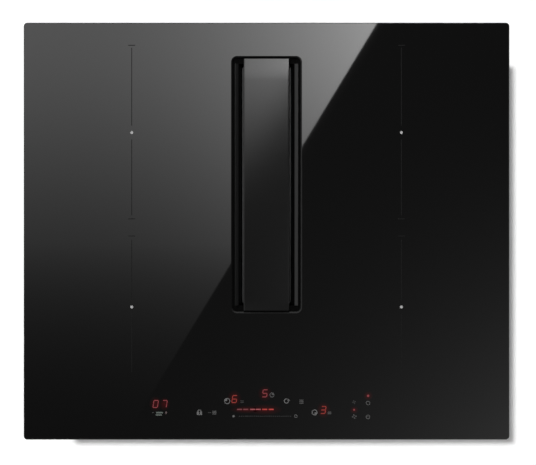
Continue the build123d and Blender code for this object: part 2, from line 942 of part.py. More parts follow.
def make_cable_gland():
    """Threaded body through the wall, lock nut inside, hexagon and tapered nut outside."""
    wall_out = terminal_y + terminal_length / 2
    wall_in = wall_out - terminal_wall
    nut_start = wall_out + gland_hex_length
    nut_end = nut_start + gland_nut_length

    def disc(outline, start, stop):
        return run_along_y(Pos(terminal_x, gland_z) * outline, start, stop)

    hexed = RegularPolygon(gland_hex, 6)
    gland = disc(Circle(gland_body), wall_in, wall_out)
    gland += disc(hexed, wall_in - gland_lock_length, wall_in)
    gland += disc(hexed, wall_out, nut_start)
    nut = disc(Circle(gland_nut_radius), nut_start, nut_end)
    gland += chamfer(nut.edges().filter_by(GeomType.CIRCLE).sort_by(Axis.Y)[-1], gland_nut_taper)
    return gland - disc(Circle(gland_bore), wall_in - gland_lock_length, nut_end)


# ---------------------------------------------------------------- air path

def make_air_channel():
    """A rectangular tube from the intake frame to the casing floor, with a flange at its foot."""
    outer = (channel_width + 2 * channel_wall, channel_length + 2 * channel_wall)
    inner = (channel_width, channel_length)
    channel = ring(outer, inner, floor_top, lip_low, y=aperture_y, outer_corner=channel_wall)
    flange = (outer[0] + 2 * channel_flange, outer[1] + 2 * channel_flange)
    return channel + ring(flange, inner, floor_top, floor_top + channel_wall, y=aperture_y,
                          outer_corner=channel_flange)


def plenum_wall_along(length):
    """One wall along Y, its outer face at x = 0, with a flange and tapered gussets on the outside."""
    flange_low = casing_low - plenum_wall
    wall = slab(plenum_wall, length, plenum_floor, casing_low, x=-plenum_wall / 2)
    wall += slab(plenum_flange, length, flange_low, casing_low, x=plenum_flange / 2)
    foot, head = (gusset_foot, plenum_floor), (gusset_head, flange_low)
    gusset = shape_of((0, plenum_floor), foot, head, (0, flange_low))
    count = int(length // gusset_pitch)
    for index in range(count):
        middle = (index - (count - 1) / 2) * gusset_pitch
        wall += run_along_y(gusset, middle - gusset_thick / 2, middle + gusset_thick / 2)
    return wall


def make_plenum_walls(length, reach, turn):
    """Two facing walls of the box under the casing, each as far as reach from its middle."""
    wall = Pos(reach, 0, 0) * plenum_wall_along(length)
    return group([Pos(0, plenum_y, 0) * Rot(0, 0, turn + half) * wall for half in (0, 180)])


def make_plenum_base():
    """Floor of the box, under its four walls; it holds the inlet ring and two ribs under the tray."""
    base = slab(plenum_width, plenum_length, plenum_low, plenum_floor, y=plenum_y)
    base -= drum(inlet_hole, plenum_low, plenum_floor, y=blower_y)
    rib_rear = aperture_y + filter_length / 2 - rib_rear_gap
    rib_front = blower_y + inlet_flange + rib_front_gap
    post_in = filter_width / 2 + rib_play
    for y in (rib_front, rib_rear):
        base += slab(2 * (post_in + rib_post), rib_width, plenum_floor, tray_low, y=y)
        for side in (-1, 1):
            x = side * (post_in + rib_post / 2)
            base += slab(rib_post, rib_width, tray_low, tray_low + rib_post_height, x=x, y=y)
    return base


def scroll_centre(index):
    """Middle of one arc of the scroll: a corner of the small square at the blower's axis."""
    half = scroll_step / 2
    corner = ((-half, half), (-half, -half), (half, -half), (half, half))[index]
    return corner[0], blower_y + corner[1]


def scroll_quarter(index, grow, begin):
    """One arc of the scroll, further out by grow, from the angle begin."""
    radius = scroll_start + index * scroll_step + grow
    return CenterArc(scroll_centre(index), radius, begin, 90.0 * (index + 1) - begin)


def diffuser_lines(grow, start, finish):
    """Straight walls from the end of the scroll round the outlet, and down to finish."""
    right = wall_right + grow
    left = wall_left - grow
    rear = volute_rear - volute_wall + min(grow, volute_wall)
    corners = [start, (right, flare_end), (right, rear), (left, rear), (left, diffuser_start), finish]
    return [Line(first, second) for first, second in zip(corners, corners[1:])]


def volute_outline(grow=0.0):
    """The volute's inner wall line, or one further out by grow, with a rounded tongue."""
    nose_radius = tongue_nose - grow
    reach = scroll_start + tongue_nose
    nose = Vector(*scroll_centre(0)) + Vector(reach, 0).rotate(Axis.Z, tongue_angle)
    knee = Vector(wall_left - grow, diffuser_start)
    away = knee - nose
    tangent = degrees(atan2(away.Y, away.X) - acos(nose_radius / away.length))
    nose_arc = CenterArc(nose, nose_radius, tongue_angle - 180, tangent - tongue_angle + 180)
    arcs = [scroll_quarter(index, grow, 90.0 * index if index else tongue_angle) for index in range(4)]
    return make_face(Wire(arcs + diffuser_lines(grow, arcs[-1] @ 1, nose_arc @ 1) + [nose_arc]))


def rim_outline():
    """Outline of the volute's rim and of its cover; the notch behind the tongue is filled."""
    grow = volute_wall + volute_flange
    arcs = [scroll_quarter(index, grow, max(90.0 * index, notch_angle)) for index in (1, 2, 3)]
    return make_face(Wire(arcs + diffuser_lines(grow, arcs[-1] @ 1, arcs[0] @ 0)))


def volute_screw_places():
    """On the middle of the flange: round the scroll, and along the diffuser."""
    out = volute_wall + volute_flange / 2
    places = []
    for angle in scroll_screw_angles:
        index = int(angle // 90)
        x, y = scroll_centre(index)
        radius = scroll_start + index * scroll_step + out
        places.append((x + radius * cos(radians(angle)), y + radius * sin(radians(angle))))
    rear = volute_rear - rim_screw_rear
    places += [(wall_right + out, flare_end + rim_screw_front), (wall_right + out, rear)]
    places += [(wall_left - out, diffuser_start + rim_screw_knee), (wall_left - out, rear)]
    return places


def make_volute_bottom():
    """Scroll and diffuser in one moulding, open on top, with a rim for the cover."""
    shell = raised(volute_outline(volute_wall), volute_low, volute_top_low)
    shell += raised(rim_outline(), volute_top_low - volute_wall, volute_top_low)
    shell -= raised(volute_outline(), volute_floor, volute_top_low)
    shell -= run_along_y(Pos(spigot_x, outlet_z) * duct_mouth(), volute_rear - volute_wall, volute_rear)
    return shell - screw_holes(volute_screw_places(), volute_top_low - volute_wall, volute_top_low)


def make_volute_top():
    cover = raised(rim_outline(), volute_top_low, plenum_low)
    cover -= drum(inlet_hole, volute_top_low, plenum_low, y=blower_y)
    return cover - screw_holes(volute_screw_places(), volute_top_low, plenum_low)


def make_screws():
    """Pan heads under the casing floor and under the volute's rim."""
    panel = [screw_up(x, y, casing_low, floor_top + casing_sheet) for x, y in panel_screw_places()]
    head_top = volute_top_low - volute_wall
    volute = [screw_up(x, y, head_top, plenum_low) for x, y in volute_screw_places()]
    return group(panel + volute)


def make_inlet_ring():
    """A bellmouth: flat flange on the plenum floor, a cone down from it, and a straight lip."""
    low = volute_top_low - inlet_lip
    top = plenum_floor + inlet_sheet
    wall = inlet_radius + inlet_sheet
    profile = shape_of(
        (inlet_flange, plenum_floor), (inlet_flange, top), (inlet_hole, top), (inlet_radius, plenum_low),
        (inlet_radius, low), (wall, low), (wall, plenum_low), (inlet_hole - inlet_sheet, plenum_floor),
    )
    return Pos(0, blower_y, 0) * revolve(Plane.XZ * profile, Axis.Z)


def make_impeller():
    """Forward-curved blades between a domed back disc and a shroud ring."""
    hub_inner = hub_radius - impeller_disc
    outer = shape_of(
        (shaft_radius, hub_high), (hub_radius, hub_high),
        (hub_radius, blade_low), (impeller_radius, blade_low),
        (impeller_radius, disc_low), (hub_inner, disc_low),
        (hub_inner, rotor_high), (shaft_radius, rotor_high),
    )
    wheel = revolve(Plane.XZ * outer, Axis.Z)
    shroud = shape_of(
        (blade_root_radius, impeller_high - impeller_disc), (impeller_radius, impeller_high - impeller_disc),
        (impeller_radius, impeller_high), (blade_root_radius, impeller_high),
    )
    wheel += revolve(Plane.XZ * shroud, Axis.Z)
    middle = (blade_root_radius + impeller_radius) / 2
    half = (impeller_radius - blade_root_radius) / 2 - blade_thick
    rise = (blade_arc ** 2 - half ** 2) ** 0.5
    sweep = degrees(2 * atan2(half, rise))
    lowest = 270.0
    start = lowest - sweep / 2
    outside = blade_arc + blade_thick / 2
    inside = blade_arc - blade_thick / 2
    centre = Pos(middle, rise)
    ends = []
    for angle in (start, start + sweep):
        way = (cos(radians(angle)), sin(radians(angle)))
        ends.append(Line((inside * way[0], inside * way[1]), (outside * way[0], outside * way[1])))
    edges = [CenterArc((0, 0), outside, start, sweep), CenterArc((0, 0), inside, start, sweep)]
    blade = centre * make_face(Wire(edges + ends))
    blades = [Rot(0, 0, 360 / blade_count * index) * blade for index in range(blade_count)]
    for outline in blades:
        wheel += raised(outline, blade_low, impeller_high - impeller_disc)
    return Pos(0, blower_y, 0) * wheel


def make_motor_rotor():
    """A cup that closes over the stator, with the shaft at its centre."""
    low = rotor_high - rotor_height
    inner = rotor_radius - rotor_wall
    pin = shaft_radius - running_play
    profile = shape_of(
        (0, hub_high), (shaft_radius, hub_high), (shaft_radius, rotor_high), (rotor_radius, rotor_high),
        (rotor_radius, low), (inner, low), (inner, rotor_high - rotor_wall), (pin, rotor_high - rotor_wall),
        (pin, mount_high), (0, mount_high),
    )
    return Pos(0, blower_y, 0) * revolve(Plane.XZ * profile, Axis.Z)


def bearing_levels():
    """Undersides of the two bearings in the stator's bore."""
    low = mount_high + bearing_inset
    high = rotor_high - rotor_wall - bearing_width - bearing_inset
    return low, high


def make_motor_bearings():
    rings = []
    for low in bearing_levels():
        race = drum(bearing_radius, low, low + bearing_width, y=blower_y)
        rings.append(race - drum(shaft_radius, low, low + bearing_width, y=blower_y))
    return group(rings)


def make_motor_stator():
    """Slotted core on a hollow boss that stands on the mount."""
    core_radius = rotor_radius - rotor_wall - magnet_gap
    top = rotor_high - rotor_wall - stator_top_gap
    core_top = top - stator_end_turns
    stator = drum(stator_boss, mount_high, top)
    stator += drum(core_radius, core_top - stator_height, core_top)
    for index in range(stator_slots):
        slot = slab(stator_slot_depth, stator_slot, core_top - stator_height, core_top,
                    x=core_radius - stator_slot_depth / 2)
        stator -= Rot(0, 0, 360 / stator_slots * index) * slot
    stator -= drum(bearing_radius, mount_high, top)
    return Pos(0, blower_y, 0) * stator


def bush_turn(index):
    """Direction of one bush from the axis, in degrees."""
    return 360 / bush_count * index + 90


def bush_places():
    """Middles of the bushes round the blower's axis."""
    turns = [radians(bush_turn(index)) for index in range(bush_count)]
    return [(bush_circle * cos(turn), blower_y + bush_circle * sin(turn)) for turn in turns]


def make_motor_mount():
    """A plate with an arm to each rubber bush."""
    plate = drum(stator_boss + mount_margin, mount_low, mount_high, y=blower_y)
    arm = slab(bush_circle, 2 * bush_radius, mount_low, mount_high, x=bush_circle / 2)
    for index, (x, y) in enumerate(bush_places()):
        plate += Pos(0, blower_y, 0) * Rot(0, 0, bush_turn(index)) * arm
        plate += hexagon(bush_radius + bush_margin, mount_low, mount_high, x, y)
    return plate


def make_motor_bushes():
    return group([hexagon(bush_radius, volute_floor, mount_low, x, y) for x, y in bush_places()])


# ---------------------------------------------------------------- outlet and blower control

def spigot_levels():
    """Where the gasket, plate and sleeve begin along Y, and where the sleeve ends."""
    plate = volute_rear + outlet_gasket_thick
    sleeve = plate + spigot_plate
    return plate, sleeve, sleeve + spigot_length


def flange_face():
    """Rectangle of the spigot's flange and gasket, as tall as the volute's rear."""
    return Rectangle(spigot_width + 2 * spigot_flange, spigot_height + 2 * spigot_flange_rise)


def duct_mouth():
    """The air's way out, the same in the volute, the gasket and the spigot."""
    return RectangleRounded(spigot_width - 2 * spigot_wall, spigot_height - 2 * spigot_wall, spigot_corner)


def make_outlet_gasket():
    plate = spigot_levels()[0]
    outline = Pos(spigot_x, outlet_z) * (flange_face() - duct_mouth())
    return run_along_y(outline, volute_rear, plate)


def make_outlet_spigot():
    plate, sleeve, end = spigot_levels()
    place = Pos(spigot_x, outlet_z)
    body = run_along_y(place * flange_face(), plate, sleeve)
    outer = RectangleRounded(spigot_width, spigot_height, spigot_corner + spigot_wall)
    body += run_along_y(place * outer, sleeve, end)
    return body - run_along_y(place * duct_mouth(), plate, end)


def make_blower_driver():
    """A ribbed box for the blower's electronics, under the casing beside the plenum."""
    low = casing_low - driver_depth
    box = slab(driver_width, driver_length, low, casing_low, driver_x, driver_y, driver_wall)
    inside = (driver_width - 2 * driver_wall, driver_length - 2 * driver_wall)
    box -= slab(*inside, low + driver_wall, casing_low, driver_x, driver_y)
    pitch = driver_width / (driver_ribs + 1)
    for index in range(driver_ribs):
        place = driver_x + (index - (driver_ribs - 1) / 2) * pitch
        box += slab(driver_rib, driver_length, low - driver_rib, low, place, driver_y)
    return box


# ---------------------------------------------------------------- worktop fixing

def make_fixing_brackets():
    """Channels under the casing floor that reach out under the worktop."""
    inner = casing_width / 2 - bracket_foot
    outer = glass_width / 2 - bracket_reach
    half = bracket_width / 2
    low = casing_low - bracket_sheet
    brackets = []
    for side in (-1, 1):
        for end in (-1, 1):
            y = end * bracket_y
            x = side * (inner + outer) / 2
            body = slab(outer - inner, bracket_width, low, casing_low, x, y)
            for edge in (-1, 1):
                lip_y = y + edge * (half - bracket_sheet / 2)
                body += slab(outer - inner, bracket_sheet, casing_low - bracket_lip, low, x, lip_y)
            body -= drum(bolt_radius + running_play, low, casing_low, side * bolt_x, y)
            brackets.append(body)
    return group(brackets)


def make_clamp_bolt(side, end):
    """A hexagon-headed bolt through the bracket, with a round pad on its tip."""
    x = side * bolt_x
    y = end * bracket_y
    pad_top = -worktop
    shank_top = pad_top - bolt_pad_height
    shank_low = shank_top - bolt_length
    bolt = drum(bolt_pad_radius, shank_top, pad_top, x, y)
    bolt += drum(bolt_radius, shank_low, shank_top, x, y)
    bolt += hexagon(bolt_head_radius, shank_low - bolt_head_height, shank_low, x, y)
    return bolt


# ---------------------------------------------------------------- the assembly

def build():
    keep("glass_top", make_glass_top())
    keep("seal_strip", make_seal_strip())
    keep("frame_gasket", make_frame_gasket())
    keep("intake_frame", make_intake_frame())
    keep("flap", make_flap())
    keep("flap_pads", make_flap_pads())
    keep("filter_frame", make_filter_frame())
    keep("filter_baffles", make_filter_baffles())
    keep("filter_grip", make_filter_grip())
    keep("drip_tray", make_drip_tray())

    keep("casing_base", make_casing_base())
    keep("casing_front", make_end_panel(-1))
    keep("casing_rear", make_end_panel(1))

    for name, side in (("left", -1), ("right", 1)):
        keep(f"coil_rear_{name}", make_coil(side, zone_rear_y, coil_rear_length))
        keep(f"coil_front_{name}", make_coil(side, zone_front_y, coil_front_length))
        keep(f"coil_carrier_{name}", make_coil_carrier(side))
        keep(f"cooling_fan_{name}", make_cooling_fan(side))
        keep(f"cooling_rotor_{name}", make_cooling_rotor(side))
        keep(f"clamp_bolt_front_{name}", make_clamp_bolt(side, -1))
        keep(f"clamp_bolt_rear_{name}", make_clamp_bolt(side, 1))
    keep("inverter_boards", group([make_inverter_board(side) for side in (-1, 1)]))
    keep("heat_sinks", group([make_heat_sink(side) for side in (-1, 1)]))
    keep("mica_sheets", make_mica_sheets())
    keep("ferrite_bars", make_ferrite_bars())
    keep("carrier_posts", make_carrier_posts())
    keep("carrier_pads", make_carrier_pads())
    keep("board_standoffs", make_board_standoffs())
    keep("mains_board", make_mains_board())

    keep("control_carrier", make_control_carrier())
    keep("control_board", make_control_board())
    keep("display_modules", make_display_modules())
    keep("touch_pads", make_touch_pads())

    keep("terminal_box", make_terminal_box())
    keep("terminal_block", make_terminal_block())
    keep("cable_gland", make_cable_gland())

    keep("air_channel", make_air_channel())
    keep("plenum_sides", make_plenum_walls(plenum_length, plenum_width / 2, 0))
    keep("plenum_ends", make_plenum_walls(plenum_width - 2 * plenum_wall, plenum_length / 2, 90))
    keep("plenum_base", make_plenum_base())
    keep("volute_top", make_volute_top())
    keep("volute_bottom", make_volute_bottom())
    keep("screws", make_screws())
    keep("inlet_ring", make_inlet_ring())
    keep("impeller", make_impeller())
    keep("motor_rotor", make_motor_rotor())
    keep("motor_bearings", make_motor_bearings())
    keep("motor_stator", make_motor_stator())
    keep("motor_mount", make_motor_mount())
    keep("motor_bushes", make_motor_bushes())
    keep("outlet_gasket", make_outlet_gasket())
    keep("outlet_spigot", make_outlet_spigot())
    keep("blower_driver", make_blower_driver())
    keep("fixing_brackets", make_fixing_brackets())


build()
os.makedirs("parts", exist_ok=True)
for node, shape in BUILT.items():
    export_step(shape, f"parts/{node}.step")
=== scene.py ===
"""Looks of the downdraft induction cooktop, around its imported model. Metres, +Z up, the controls at -Y."""
import json
from math import cos, radians, sin, sqrt, tau

import bmesh
import bpy
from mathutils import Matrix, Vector
from mathutils.bvhtree import BVHTree


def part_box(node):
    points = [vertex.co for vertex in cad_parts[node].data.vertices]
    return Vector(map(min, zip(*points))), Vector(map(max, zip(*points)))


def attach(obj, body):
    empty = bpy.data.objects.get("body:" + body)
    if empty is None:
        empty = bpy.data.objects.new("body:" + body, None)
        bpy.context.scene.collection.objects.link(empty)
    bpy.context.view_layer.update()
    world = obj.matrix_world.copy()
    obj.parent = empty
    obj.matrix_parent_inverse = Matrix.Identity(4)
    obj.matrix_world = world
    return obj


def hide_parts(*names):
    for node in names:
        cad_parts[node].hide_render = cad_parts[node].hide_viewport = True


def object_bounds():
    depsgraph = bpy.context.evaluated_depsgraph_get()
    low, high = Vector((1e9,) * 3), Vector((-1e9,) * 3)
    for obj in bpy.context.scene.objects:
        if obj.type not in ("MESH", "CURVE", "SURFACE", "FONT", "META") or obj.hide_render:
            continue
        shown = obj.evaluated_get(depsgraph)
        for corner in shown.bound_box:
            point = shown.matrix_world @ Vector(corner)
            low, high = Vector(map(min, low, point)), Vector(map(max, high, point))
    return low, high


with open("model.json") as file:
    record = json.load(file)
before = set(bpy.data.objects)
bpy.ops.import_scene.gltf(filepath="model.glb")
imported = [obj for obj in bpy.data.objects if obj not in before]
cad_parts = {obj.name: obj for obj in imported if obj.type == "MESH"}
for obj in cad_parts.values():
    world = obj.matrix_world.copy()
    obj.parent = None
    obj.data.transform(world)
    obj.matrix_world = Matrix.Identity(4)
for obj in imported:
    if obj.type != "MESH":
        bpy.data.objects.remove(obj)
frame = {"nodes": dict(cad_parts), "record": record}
cad_low, cad_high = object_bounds()

MM = 0.001
SLOT_OF = {part["node"]: part["material_slot"] for part in frame["record"]["subparts"]}


# ---------------------------------------------------------------- sizes taken from the frame

def middle(node):
    """The middle of a node's box."""
    low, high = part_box(node)
    return (low + high) / 2


glass_low, glass_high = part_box("glass_top")
flap_low, flap_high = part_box("flap")
frame_low, frame_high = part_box("intake_frame")
plenum_low, plenum_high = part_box("plenum_sides")
gasket_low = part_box("frame_gasket")[0]
channel_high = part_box("air_channel")[1]
volute_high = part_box("volute_bottom")[1]
surface = glass_high.z
aperture_y = (frame_low.y + frame_high.y) / 2


# ---------------------------------------------------------------- material recipes

class Nodes:
    """The node tree of a material or a world, with short calls for the nodes that it needs."""

    def __init__(self, owner):
        owner.use_nodes = True
        self.tree = owner.node_tree

    def node(self, kind, values=None, **settings):
        """A node with its settings; values are numbers or sockets for its inputs, by name or number."""
        made = self.tree.nodes.new(kind)
        for key, value in settings.items():
            setattr(made, key, value)
        for key, value in (values or {}).items():
            self.feed(made.inputs[key], value)
        return made

    def feed(self, socket, value):
        if isinstance(value, bpy.types.NodeSocket):
            self.tree.links.new(value, socket)
        else:
            socket.default_value = value

    def math(self, operation, first, second=0.0, third=0.0):
        values = {0: first, 1: second, 2: third}
        return self.node("ShaderNodeMath", values, operation=operation).outputs[0]

    def scaled(self, first, second):
        return self.math("MULTIPLY", first, second)

    def mix(self, value, low, high):
        """A number between two, by a value from 0 to 1."""
        return self.node("ShaderNodeMix", {0: value, 2: low, 3: high}).outputs[0]

    def span(self, value, low, high, start=0.0, stop=1.0, smooth=False):
        """The value, carried from start...stop to low...high, and held outside."""
        values = {"Value": value, "From Min": start, "From Max": stop, "To Min": low, "To Max": high}
        kind = "SMOOTHSTEP" if smooth else "LINEAR"
        return self.node("ShaderNodeMapRange", values, interpolation_type=kind).outputs["Result"]


class Recipe(Nodes):
    """One material, with its shader and its object coordinates."""

    def __init__(self, name):
        self.name = name
        self.material = bpy.data.materials.new(name)
        super().__init__(self.material)
        self.shader = self.tree.nodes["Principled BSDF"]
        self.place = self.node("ShaderNodeTexCoord").outputs["Object"]

    def set(self, **values):
        """Numbers or sockets for the shader's own inputs."""
        for key, value in values.items():
            self.feed(self.shader.inputs[key.replace("_", " ").title()], value)
        return self

    def colour(self, value, low, high):
        return self.set(base_color=self.tint(value, low, high))

    def rough(self, value, low, high, start=0.0, stop=1.0):
        return self.set(roughness=self.span(value, low, high, start, stop))

    def fixed(self, name, value):
        self.shader.inputs[name].default_value = value
        return self

    def stretch(self, x, y, z):
        return self.node("ShaderNodeMapping", {"Vector": self.place, "Scale": (x, y, z)}).outputs["Vector"]

    def noise(self, scale, detail=3.0, place=None, roughness=0.55):
        values = {"Vector": place or self.place, "Scale": scale, "Detail": detail, "Roughness": roughness}
        return self.node("ShaderNodeTexNoise", values).outputs["Fac"]

    def cells(self, scale, place=None, feature="F1", output="Distance"):
        values = {"Vector": place or self.place, "Scale": scale}
        return self.node("ShaderNodeTexVoronoi", values, feature=feature).outputs[output]

    def blend(self, value, low, high):
        """Between two sockets or colours, by a value from 0 to 1."""
        return self.node("ShaderNodeMix", {0: value, 6: low, 7: high}, data_type="RGBA").outputs[2]

    def tint(self, value, low, high):
        return self.blend(value, (*low, 1), (*high, 1))

    def parts(self, vector=None):
        return self.node("ShaderNodeSeparateXYZ", {0: vector or self.place}).outputs

    def glow(self, strength):
        """White light of a strength, in place of the shader."""
        return self.node("ShaderNodeEmission", {"Color": (1, 1, 1, 1), "Strength": strength}).outputs[0]

    def output(self, socket):
        self.feed(self.tree.nodes["Material Output"].inputs["Surface"], socket)
        return self.material

    def bump(self, height, distance, strength=1.0):
        values = {"Height": height, "Distance": distance, "Strength": strength}
        self.set(normal=self.node("ShaderNodeBump", values).outputs["Normal"])
        return self


def grey(level):
    return (level, level, level)


def black_glass():
    """Polished ceramic glass; its ground edges are duller."""
    recipe = Recipe("black_glass")
    tilt = recipe.parts(recipe.node("ShaderNodeNewGeometry").outputs["Normal"])["Z"]
    edge = recipe.math("LESS_THAN", tilt, 0.9)
    haze = recipe.span(recipe.noise(9, 4), 0.012, 0.03)
    ground = recipe.span(recipe.noise(900, 2), 0.2, 0.34)
    recipe.set(roughness=recipe.mix(edge, haze, ground))
    recipe.colour(edge, grey(0.0016), grey(0.003))
    return recipe.fixed("IOR", 1.5)


def plain(name, low, high, tone, rough, wear, grain, relief, strength, metallic=0.0, specular=0.5):
    """Two colours, two roughnesses and a relief in mm, each spread by a noise of a scale and a detail."""
    recipe = Recipe(name)
    recipe.colour(recipe.noise(*tone), low, high).rough(recipe.noise(*wear), *rough)
    recipe.fixed("Metallic", metallic).fixed("Specular IOR Level", specular)
    return recipe.bump(recipe.noise(*grain), relief * MM, strength)


def frame_matt():
    """The intake's moulding where its skin is left dull, round the plate and in the well."""
    return plain("frame_matt", grey(0.0010), grey(0.0020), (45, 4), (0.74, 0.86), (160, 3), (1900, 3),
                 0.03, 0.5, specular=0.06)


def moulded(name, low, high, rough, grain=2600, relief=0.05):
    """Injection-moulded plastic with a fine eroded skin and slow changes of tone."""
    return plain(name, low, high, (14, 5), (rough - 0.05, rough + 0.06), (80, 4), (grain, 2), relief, 0.5)


def plated(name, low, high, rough):
    """Zinc-plated steel with a faint colour play."""
    return plain(name, low, high, (26, 4), (rough - 0.06, rough + 0.08), (240, 3), (900, 2), 0.02, 0.3,
                 metallic=1.0)


# how fast the flap's mirror image bends towards its front end, in radians a metre
FLAP_BOW = 0.56


def flap_black():
    """Black enamelled sheet with a faint grain across its width."""
    recipe = Recipe("flap_black")
    grain = recipe.noise(1.0, 4, recipe.stretch(6, 500, 500), 0.7)
    recipe.colour(grain, grey(0.0022), grey(0.0036))
    recipe.rough(grain, 0.18, 0.22, 0.3, 0.7)
    # the long sheet relaxes a little towards its front end, which bends what it mirrors
    fall = recipe.math("SUBTRACT", flap_high.y, recipe.parts()["Y"])
    bow = recipe.scaled(recipe.scaled(fall, fall), -FLAP_BOW / 2)
    base = recipe.node("ShaderNodeBump", {"Height": bow, "Distance": 1.0, "Strength": 1.0}).outputs["Normal"]
    values = {"Height": grain, "Distance": 0.0012 * MM, "Strength": 0.25, "Normal": base}
    recipe.set(normal=recipe.node("ShaderNodeBump", values).outputs["Normal"])
    return recipe.fixed("IOR", 1.5)


def seal_foam():
    recipe = Recipe("seal_foam")
    pores = recipe.cells(900)
    recipe.colour(recipe.span(pores, 0, 1, 0.1, 0.7), grey(0.012), grey(0.034))
    return recipe.set(roughness=0.92).bump(pores, 0.4 * MM, 0.6)


def brushed(name, low, high, rough, along):
    """Metal with a fine grain along X or Y."""
    recipe = Recipe(name)
    fine = {"x": (4, 900, 900), "y": (900, 4, 900)}[along]
    grain = recipe.noise(1.0, 4, recipe.stretch(*fine), 0.7)
    streak = recipe.noise(0.12, 3, recipe.stretch(*fine), 0.6)
    tone = recipe.math("ADD", recipe.scaled(grain, 0.6), recipe.scaled(streak, 0.4))
    recipe.colour(recipe.span(tone, 0, 1, 0.3, 0.7), low, high)
    recipe.rough(grain, rough - 0.05, rough + 0.07, 0.3, 0.7)
    return recipe.fixed("Metallic", 1.0).bump(grain, 0.02 * MM, 0.35)


def galvanised():
    """Hot-dipped sheet with crystal flakes and a few dull stains."""
    recipe = Recipe("zinc_steel")
    shade = recipe.parts(recipe.cells(110, output="Color"))["X"]
    tone = recipe.math("ADD", recipe.scaled(shade, 0.65), recipe.scaled(recipe.noise(11, 5), 0.35))
    recipe.colour(tone, (0.45, 0.46, 0.48), (0.60, 0.61, 0.62))
    recipe.rough(tone, 0.32, 0.52)
    return recipe.fixed("Metallic", 0.9).bump(shade, 0.03 * MM, 0.25)


WIRE_PITCH = 2.4 * MM
COIL_CORNER = 20 * MM
SHEET_PITCH = 0.8 * MM


def winding(name, centre, corner):
    """Litz wire wound flat: turns follow the rounded outline of the coil round its centre."""
    recipe = Recipe(name)
    x, y, _ = recipe.parts()
    across = recipe.math("ABSOLUTE", recipe.math("SUBTRACT", x, centre[0]))
    along = recipe.math("ABSOLUTE", recipe.math("SUBTRACT", y, centre[1]))
    reach = recipe.math("SMOOTH_MAX", across, recipe.math("ADD", along, centre[2]), corner)
    turn = recipe.math("SINE", recipe.scaled(reach, tau / WIRE_PITCH))
    # the colour darkens towards the valley between turns, where the bump sinks: painted shade between the
    # wires
    tone = recipe.math("ADD", recipe.span(turn, 0, 0.7, -1, 1), recipe.scaled(recipe.noise(1500, 2), 0.3))
    recipe.colour(tone, (0.20, 0.07, 0.025), (0.68, 0.33, 0.15))
    recipe.set(roughness=0.42)
    return recipe.fixed("Metallic", 0.8).bump(turn, 0.8 * MM, 0.8)


def ferrite():
    recipe = Recipe("ferrite")
    recipe.colour(recipe.noise(260, 5), grey(0.035), grey(0.085))
    return recipe.set(roughness=0.62).bump(recipe.noise(900, 4), 0.08 * MM, 0.6)


def mica():
    recipe = Recipe("mica")
    flakes = recipe.parts(recipe.cells(170, output="Color"))["X"]
    recipe.colour(flakes, (0.42, 0.36, 0.27), (0.74, 0.69, 0.60))
    return recipe.set(roughness=0.5).bump(flakes, 0.03 * MM, 0.3)


def circuit_board():
    """Green solder mask over copper tracks, with tinned pads."""
    recipe = Recipe("circuit_board")
    brick = {"Vector": recipe.place, "Scale": 60.0, "Mortar Size": 0.03, "Color1": (0.006, 0.085, 0.03, 1),
             "Color2": (0.010, 0.12, 0.045, 1), "Mortar": (0.03, 0.24, 0.09, 1)}
    tracks = recipe.node("ShaderNodeTexBrick", brick).outputs["Color"]
    pad = recipe.math("LESS_THAN", recipe.cells(220), 0.16)
    recipe.set(base_color=recipe.blend(pad, tracks, (0.55, 0.54, 0.5, 1)))
    return recipe.rough(pad, 0.38, 0.28).bump(pad, 0.2 * MM, 0.5)


def display_dark():
    recipe = Recipe("display_dark")
    recipe.colour(recipe.noise(120), (0.03, 0.004, 0.004), (0.07, 0.012, 0.010))
    return recipe.rough(recipe.noise(500), 0.14, 0.22)


def laminated():
    """Stacked electrical sheets, seen as fine level lines."""
    recipe = Recipe("motor_steel")
    sheets = recipe.math("SINE", recipe.scaled(recipe.parts()["Z"], tau / SHEET_PITCH))
    tone = recipe.math("ADD", recipe.span(sheets, 0, 0.6, -1, 1), recipe.scaled(recipe.noise(90), 0.4))
    recipe.colour(tone, (0.26, 0.26, 0.27), (0.55, 0.55, 0.56))
    recipe.set(roughness=0.4)
    return recipe.fixed("Metallic", 0.9).bump(sheets, 0.08 * MM, 0.5)


def finishes():
    """One material for each slot of the record, by the slot's name."""
    recipes = (
        black_glass(),
        seal_foam(),
        plain("silicone", grey(0.022), grey(0.05), (60, 5), (0.42, 0.6), (700, 3), (1600, 2), 0.05, 0.4),
        plain("frame_black", grey(0.0014), grey(0.0024), (30, 4), (0.26, 0.34), (120, 3), (2600, 2),
              0.012, 0.4, specular=0.45),
        flap_black(),
        brushed("filter_steel", grey(0.40), grey(0.62), 0.3, "x"),
        moulded("tray_black", grey(0.014), grey(0.026), 0.42),
        galvanised(),
        brushed("carrier_aluminium", grey(0.5), grey(0.74), 0.34, "y"),
        ferrite(),
        mica(),
        circuit_board(),
        brushed("sink_aluminium", grey(0.48), grey(0.68), 0.36, "y"),
        moulded("fan_black", grey(0.012), grey(0.022), 0.34),
        moulded("post_white", (0.55, 0.55, 0.52), (0.70, 0.70, 0.67), 0.48),
        display_dark(),
        moulded("housing_grey", (0.058, 0.060, 0.063), (0.088, 0.090, 0.094), 0.5, 2200, 0.08),
        moulded("impeller_grey", (0.10, 0.104, 0.108), (0.15, 0.155, 0.16), 0.4),
        laminated(),
        plated("bracket_zinc", (0.55, 0.56, 0.55), (0.70, 0.69, 0.63), 0.34),
        plated("bolt_steel", (0.50, 0.50, 0.48), (0.66, 0.66, 0.62), 0.3),
    )
    return {recipe.name: recipe for recipe in recipes}


FINISH = finishes()


